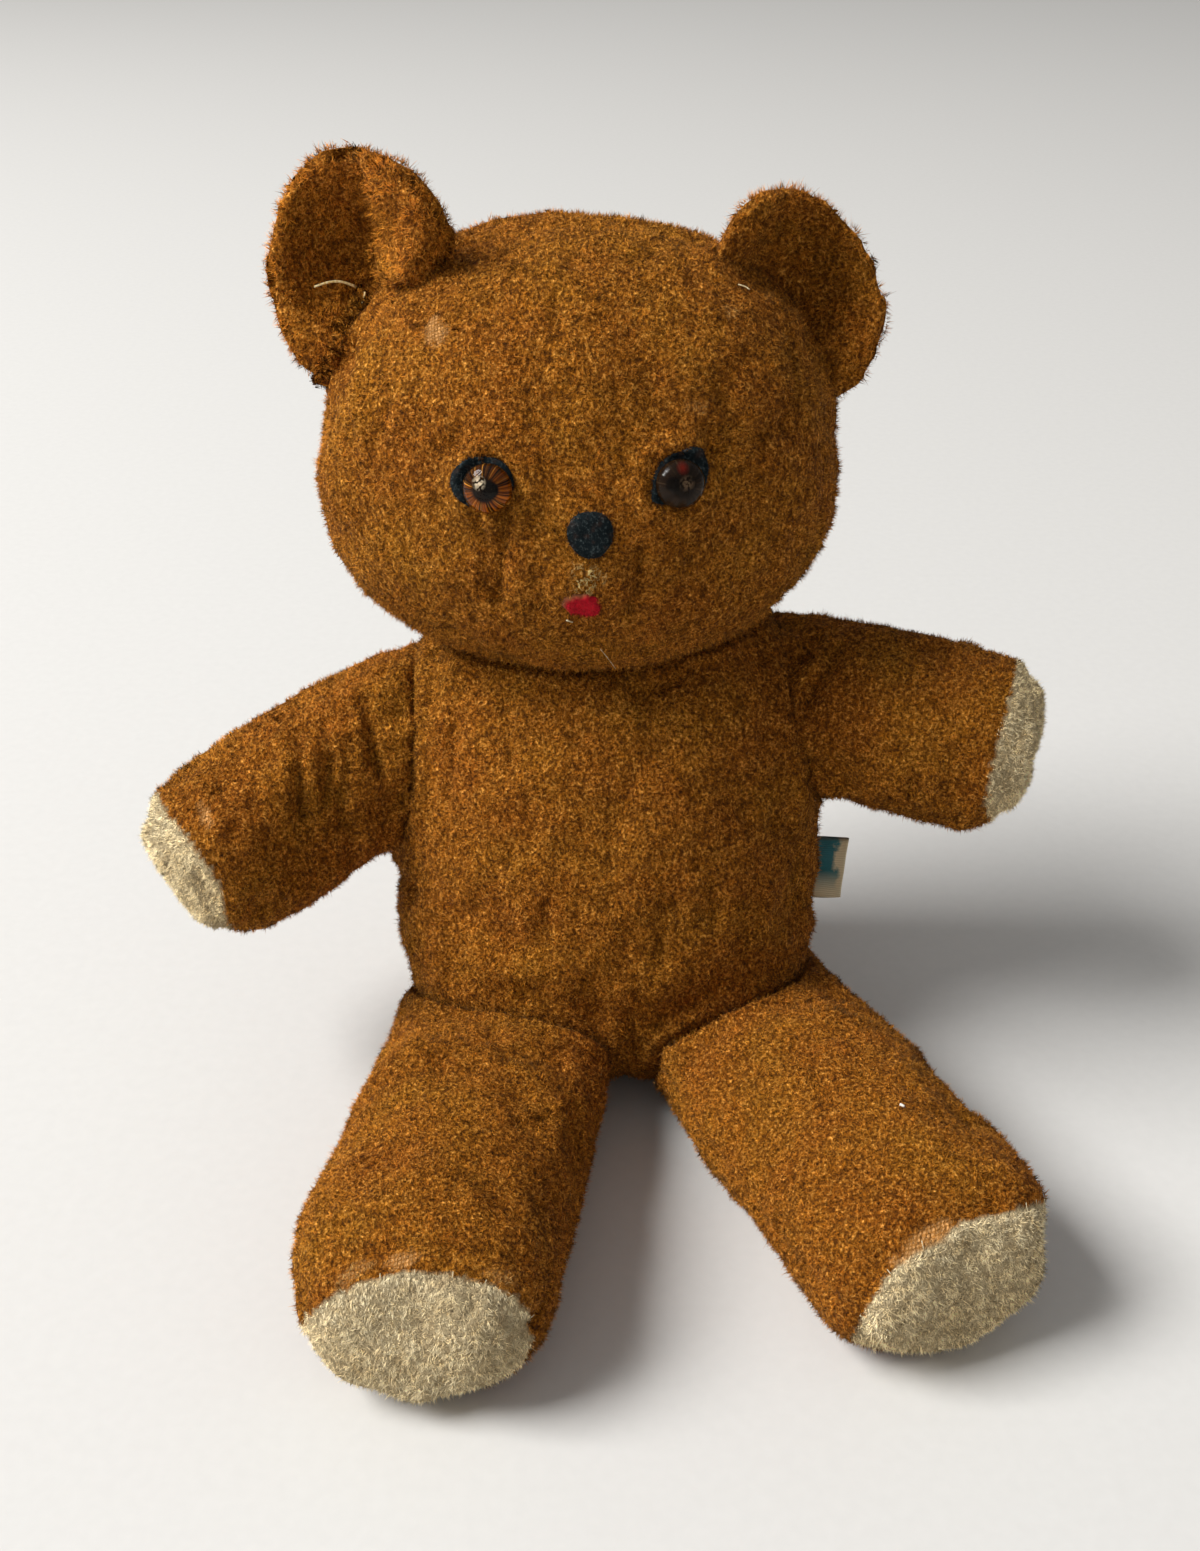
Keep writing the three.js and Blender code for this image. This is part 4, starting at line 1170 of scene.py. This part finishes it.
# nylon lock washers inside the face: moulded, milky, faintly mottled
nylon, tree = startMaterial("mouldedNylon")
milk = noise(tree, objectPlace(tree), 3 * mm, 3)
finished(tree, {"Roughness": 0.45, "IOR": 1.53}, blend(tree, milk, "#d9d2c0", "#ece7d8"))
for side in ("left", "right"):
    washer = nodes[side + "_eye_washer"]
    washer.data.materials.clear()
    washer.data.materials.append(nylon)
print("eyes done")

# label: a cream rayon tape, woven close and flat, folded in two; teal dye has run in blotches
label = {"width": 21.0, "reach": 8.0, "buried": 3.0, "loop": 0.6, "thick": 0.3, "rows": 18}
tape, tree = startMaterial("wovenRayonTape")
place = objectPlace(tree)
along = attribute(tree, "tapeAlong")
blotch = noise(tree, place, 4.5 * mm, 3, 0.65)
dyeGap = maths(tree, "SUBTRACT", times(tree, blotch, 1.6), attribute(tree, "tapeOut"))
dyeShare = times(tree, ranged(tree, dyeGap, 0.1, 0.42), ranged(tree, along, 0.1, 0.45))
yarns = waves(tree, place, 0.6 * mm, "Z", {"Distortion": 0.8})
teal = blend(tree, blotch, "#0d4a52", "#1f8087")
dyed = blend(tree, dyeShare, blend(tree, yarns, "#c9b48a", "#e6d6b0"), teal)
edged = blend(tree, ranged(tree, along, 0.94, 0.99, 0.0, 0.5), dyed, "#54432f")
finished(tree, {"Roughness": 0.55, "Sheen Weight": 0.1}, edged, bumped(tree, yarns, 0.4, 0.0002))
tapePlaces = placesOf(nodes["side_label"].data)
tapeMiddle = (tapePlaces.max(0) + tapePlaces.min(0)) / 2
_, _, axes = np.linalg.svd(tapePlaces - tapePlaces.mean(0), full_matrices=False)
tapeAlong = axes[0] * np.sign(axes[0][2])
tapeOut = axes[1] * np.sign(axes[1] @ (tapeMiddle - middle("torso_stuffing")))
tapeFlat = np.cross(tapeAlong, tapeOut)
outMost = ((tapePlaces - tapeMiddle) @ tapeOut).max()
loop, deep = label["loop"] * mm, -label["reach"] - label["buried"]
path = [(d * mm, loop) for d in np.linspace(deep, -label["loop"], 14)]
path += [(-loop + loop * math.sin(math.radians(a)), loop * math.cos(math.radians(a))) for a in range(15, 180, 15)]
path += [(d * mm, -loop) for d in np.linspace(-label["loop"], deep, 14)]
path = np.array(path)
places, outs, alongs = [], [], []
for row in range(label["rows"] + 1):
    share = row / label["rows"]
    for d, t in path:
        free = max(0, 1 + d / (9 * mm))
        wave = 0.5 * mm * math.sin(share * 5.0) * free + 0.35 * mm * math.sin(share * 11 + d * 300)
        reach = outMost + d - 1.6 * mm * (1 - share) * free
        spot = tapeMiddle + tapeAlong * label["width"] * mm * (share - 0.5) + tapeOut * reach + tapeFlat * (t + wave)
        places.append(tuple(spot))
        outs.append(1 + d / (label["reach"] * mm))
        alongs.append(share)
faces = [(r * len(path) + c, r * len(path) + c + 1, (r + 1) * len(path) + c + 1, (r + 1) * len(path) + c)
         for r in range(label["rows"]) for c in range(len(path) - 1)]
tapeMesh = bpy.data.meshes.new("side_label_tape")
tapeMesh.from_pydata(places, [], faces)
putValues(tapeMesh, "tapeOut", np.clip(np.array(outs), 0, 1))
putValues(tapeMesh, "tapeAlong", np.array(alongs))
tapePiece = newPiece("side_label_tape", tapeMesh, tape, ["side_label"])
solid = tapePiece.modifiers.new("cloth", "SOLIDIFY")
solid.thickness = label["thick"] * mm
solid.offset = 0
applied(tapePiece)
smoothFaces(tapePiece.data)
print("label done")


# round thin strands as one mesh: each is points, first and last radius in mm
def strandMesh(name, strands, sides=6):
    places, faces = [], []
    for points, firstRadius, lastRadius in strands:
        points = np.array(points)
        ways = unit(np.gradient(points, axis=0))
        start = len(places)
        side = unit(np.cross(ways[0], [0.31, 0.2, 0.93]))
        for i, (point, way) in enumerate(zip(points, ways)):
            side = unit(side - (side @ way) * way)
            other = np.cross(way, side)
            radius = (firstRadius + (lastRadius - firstRadius) * i / (len(points) - 1)) * mm
            places += [tuple(point + radius * (math.cos(a) * side + math.sin(a) * other))
                       for a in np.linspace(0, 2 * math.pi, sides, endpoint=False)]
        last = start + (len(points) - 1) * sides
        faces += [(start + r * sides + c, start + r * sides + (c + 1) % sides,
                   start + (r + 1) * sides + (c + 1) % sides, start + (r + 1) * sides + c)
                  for r in range(len(points) - 1) for c in range(sides)]
        faces += [tuple(range(start + sides - 1, start - 1, -1)), tuple(range(last, last + sides))]
    mesh = bpy.data.meshes.new(name)
    mesh.from_pydata(places, [], faces)
    smoothFaces(mesh)
    return mesh


# a smooth line through pixels of the photograph, lying above the pile of a member by lifts in mm
def strandOver(key, pixels, lifts, steps=14):
    found = [onBody(key, p) for p in pixels]
    points = np.array([spot + normal * lift * mm for (spot, normal), lift in zip(found, lifts)])
    t = np.linspace(0, len(points) - 1, steps)
    lines = np.stack([np.interp(t, range(len(points)), points[:, i]) for i in range(3)], 1)
    for _ in range(3):
        lines[1:-1] = (lines[:-2] + 2 * lines[1:-1] + lines[2:]) / 4
    return lines


strandLooks = {
    "driedStraw": {"dark": "#dcb566", "light": "#fff0bc", "grain": 0.0006, "rough": 0.5},
    "creamCottonThread": {"dark": "#b7a273", "light": "#f0e4c0", "grain": 0.0008, "rough": 0.85},
    "whiteLint": {"dark": "#cfc8ba", "light": "#f2ede2", "grain": 0.0007, "rough": 0.9},
}
strandMaterials = {}
for name, look in strandLooks.items():   # spun or dried fibre: fine streaks, pale where it is rubbed
    strandMaterials[name], tree = startMaterial(name)
    streak = noise(tree, objectPlace(tree), look["grain"], 3)
    colour = blend(tree, ranged(tree, streak, 0.35, 0.65), look["dark"], look["light"])
    finished(tree, {"Roughness": look["rough"], "Specular IOR Level": 0.3}, colour, bumped(tree, streak, 0.5, 0.0002))

newPiece("ear_straw_strand", strandMesh("ear_straw_strand", [
    (strandOver("right_ear", [(312, 288), (325, 284), (340, 283), (356, 288)], [1.8, 2.9, 2.9, 1.8]), 0.3, 0.4),
    (strandOver("right_ear", [(357, 290), (361, 299), (360, 310)], [2.0, 2.6, 1.6]), 0.28, 0.18),
]), strandMaterials["driedStraw"])
newPiece("loose_thread_ends", strandMesh("loose_thread_ends", [
    (strandOver("head", [(757, 264), (761, 266), (766, 269)], [1.0, 1.8, 2.0]), 0.22, 0.16),
    (strandOver("head", [(600, 646), (606, 652), (613, 660)], [1.0, 2.0, 2.6]), 0.1, 0.06),
    (strandOver("head", [(566, 617), (570, 619)], [1.2, 1.3], 4), 0.24, 0.18),
]), strandMaterials["creamCottonThread"])
newPiece("white_lint", strandMesh("white_lint", [
    (strandOver("left_leg", [(900, 1109), (904, 1111)], [1.5, 1.5], 4), 0.45, 0.35),
]), strandMaterials["whiteLint"])

# frayed stitches stand out along the upper edge of each foot pad
stitches = {
    "right_leg": {"spacing": 7.5, "reach": 1.6, "before": 0.6, "thick": 0.13, "lift": 0.7, "drop": -0.3},
    "left_leg": {"spacing": 4.2, "reach": 2.2, "before": 1.0, "thick": 0.15, "lift": 0.7, "drop": -0.4},
}
for key, stitch in stitches.items():
    facts = bodyFacts[key]
    triangles, places, pad = facts["triangles"], facts["places"], facts["pad"]
    crossing = triangles[(pad[triangles].max(1) > 0) & (pad[triangles].min(1) <= 0)]
    a, b, c = (places[crossing[:, i]] for i in range(3))
    across = np.cross(b - a, c - a)
    double = (across ** 2).sum(1, keepdims=True)
    slope = (np.cross(across, c - b) * pad[crossing[:, :1]] + np.cross(across, a - c) * pad[crossing[:, 1:2]]
             + np.cross(across, b - a) * pad[crossing[:, 2:]]) / double
    centre = (a + b + c) / 3
    edge = centre - slope * (pad[crossing].mean(1) / np.maximum((slope ** 2).sum(1), 1e-6))[:, None]
    into = unit(slope)
    taken, strands = [], []
    for i in dice.permutation(len(edge)):
        close = any(np.linalg.norm(edge[i] - edge[j]) < stitch["spacing"] * mm for j in taken)
        if into[i][2] > stitch["drop"] or close:
            continue
        taken.append(i)
        reach = stitch["reach"] * dice.uniform(0.7, 1.15) * mm
        lean = unit(into[i] + 0.12 * dice.normal(0, 1, 3))
        points = []
        for t in np.linspace(0, 1, 6):
            spot, normal, _, _ = trees[key].find_nearest(Vector(edge[i] + lean * (t * reach - stitch["before"] * mm)))
            points.append(np.array(spot) + np.array(normal) * stitch["lift"] * mm * (1.15 - 0.6 * t))
        strands.append((points, stitch["thick"] * dice.uniform(0.8, 1.2), stitch["thick"] * 0.5))
    name = key + "_frayed_stitches"
    newPiece(name, strandMesh(name, strands, 5), strandMaterials["creamCottonThread"])
    print("frayed stitches", key, len(strands))

# stage and light
floorMaterial, tree = startMaterial("paleMattPaper")
grain = noise(tree, objectPlace(tree), 4 * mm, 2)
finished(tree, {"Roughness": 0.95, "Specular IOR Level": 0.1}, blend(tree, grain, "#d2d0cc", "#d8d6d2"))
floorMesh = bpy.data.meshes.new("studioFloor")
floorMesh.from_pydata([(-6, -6, 0), (6, -6, 0), (6, 6, 0), (-6, 6, 0)], [], [(0, 1, 2, 3)])
floorMesh.materials.append(floorMaterial)
floor = bpy.data.objects.new("studioFloor", floorMesh)
scene.collection.objects.link(floor)

lamps = {
    "windowSide": {"at": (-2.85, -0.55, 3.2), "size": 2.0, "watts": 262, "colour": "#ffffff"},
}
for name, lamp in lamps.items():
    light = bpy.data.lights.new(name, "AREA")
    light.size = lamp["size"]
    light.energy = lamp["watts"]
    light.color = linear(lamp["colour"])[:3]
    lightObject = bpy.data.objects.new(name, light)
    lightObject.location = lamp["at"]
    lightObject.rotation_euler = (Vector((0, 0.02, 0.1)) - Vector(lamp["at"])).to_track_quat("-Z", "Y").to_euler()
    scene.collection.objects.link(lightObject)

world = bpy.data.worlds.new("studioWorld")
scene.world = world
world.use_nodes = True
tree = world.node_tree
tree.nodes.clear()
rays = addNode(tree, "ShaderNodeLightPath").outputs
seen = maths(tree, "MAXIMUM", rays["Is Camera Ray"], rays["Is Transmission Ray"])
ambient = addNode(tree, "ShaderNodeBackground", {"Color": linear("#f4f4f4"), "Strength": 0.36})
backdrop = addNode(tree, "ShaderNodeBackground", {"Color": linear("#dddad5"), "Strength": 1.0})
choice = addNode(tree, "ShaderNodeMixShader", None, {0: seen, 1: ambient.outputs[0], 2: backdrop.outputs[0]})
addNode(tree, "ShaderNodeOutputWorld", None, {"Surface": choice.outputs[0]})
scene.view_settings.view_transform = "Standard"
print("stage and light set")
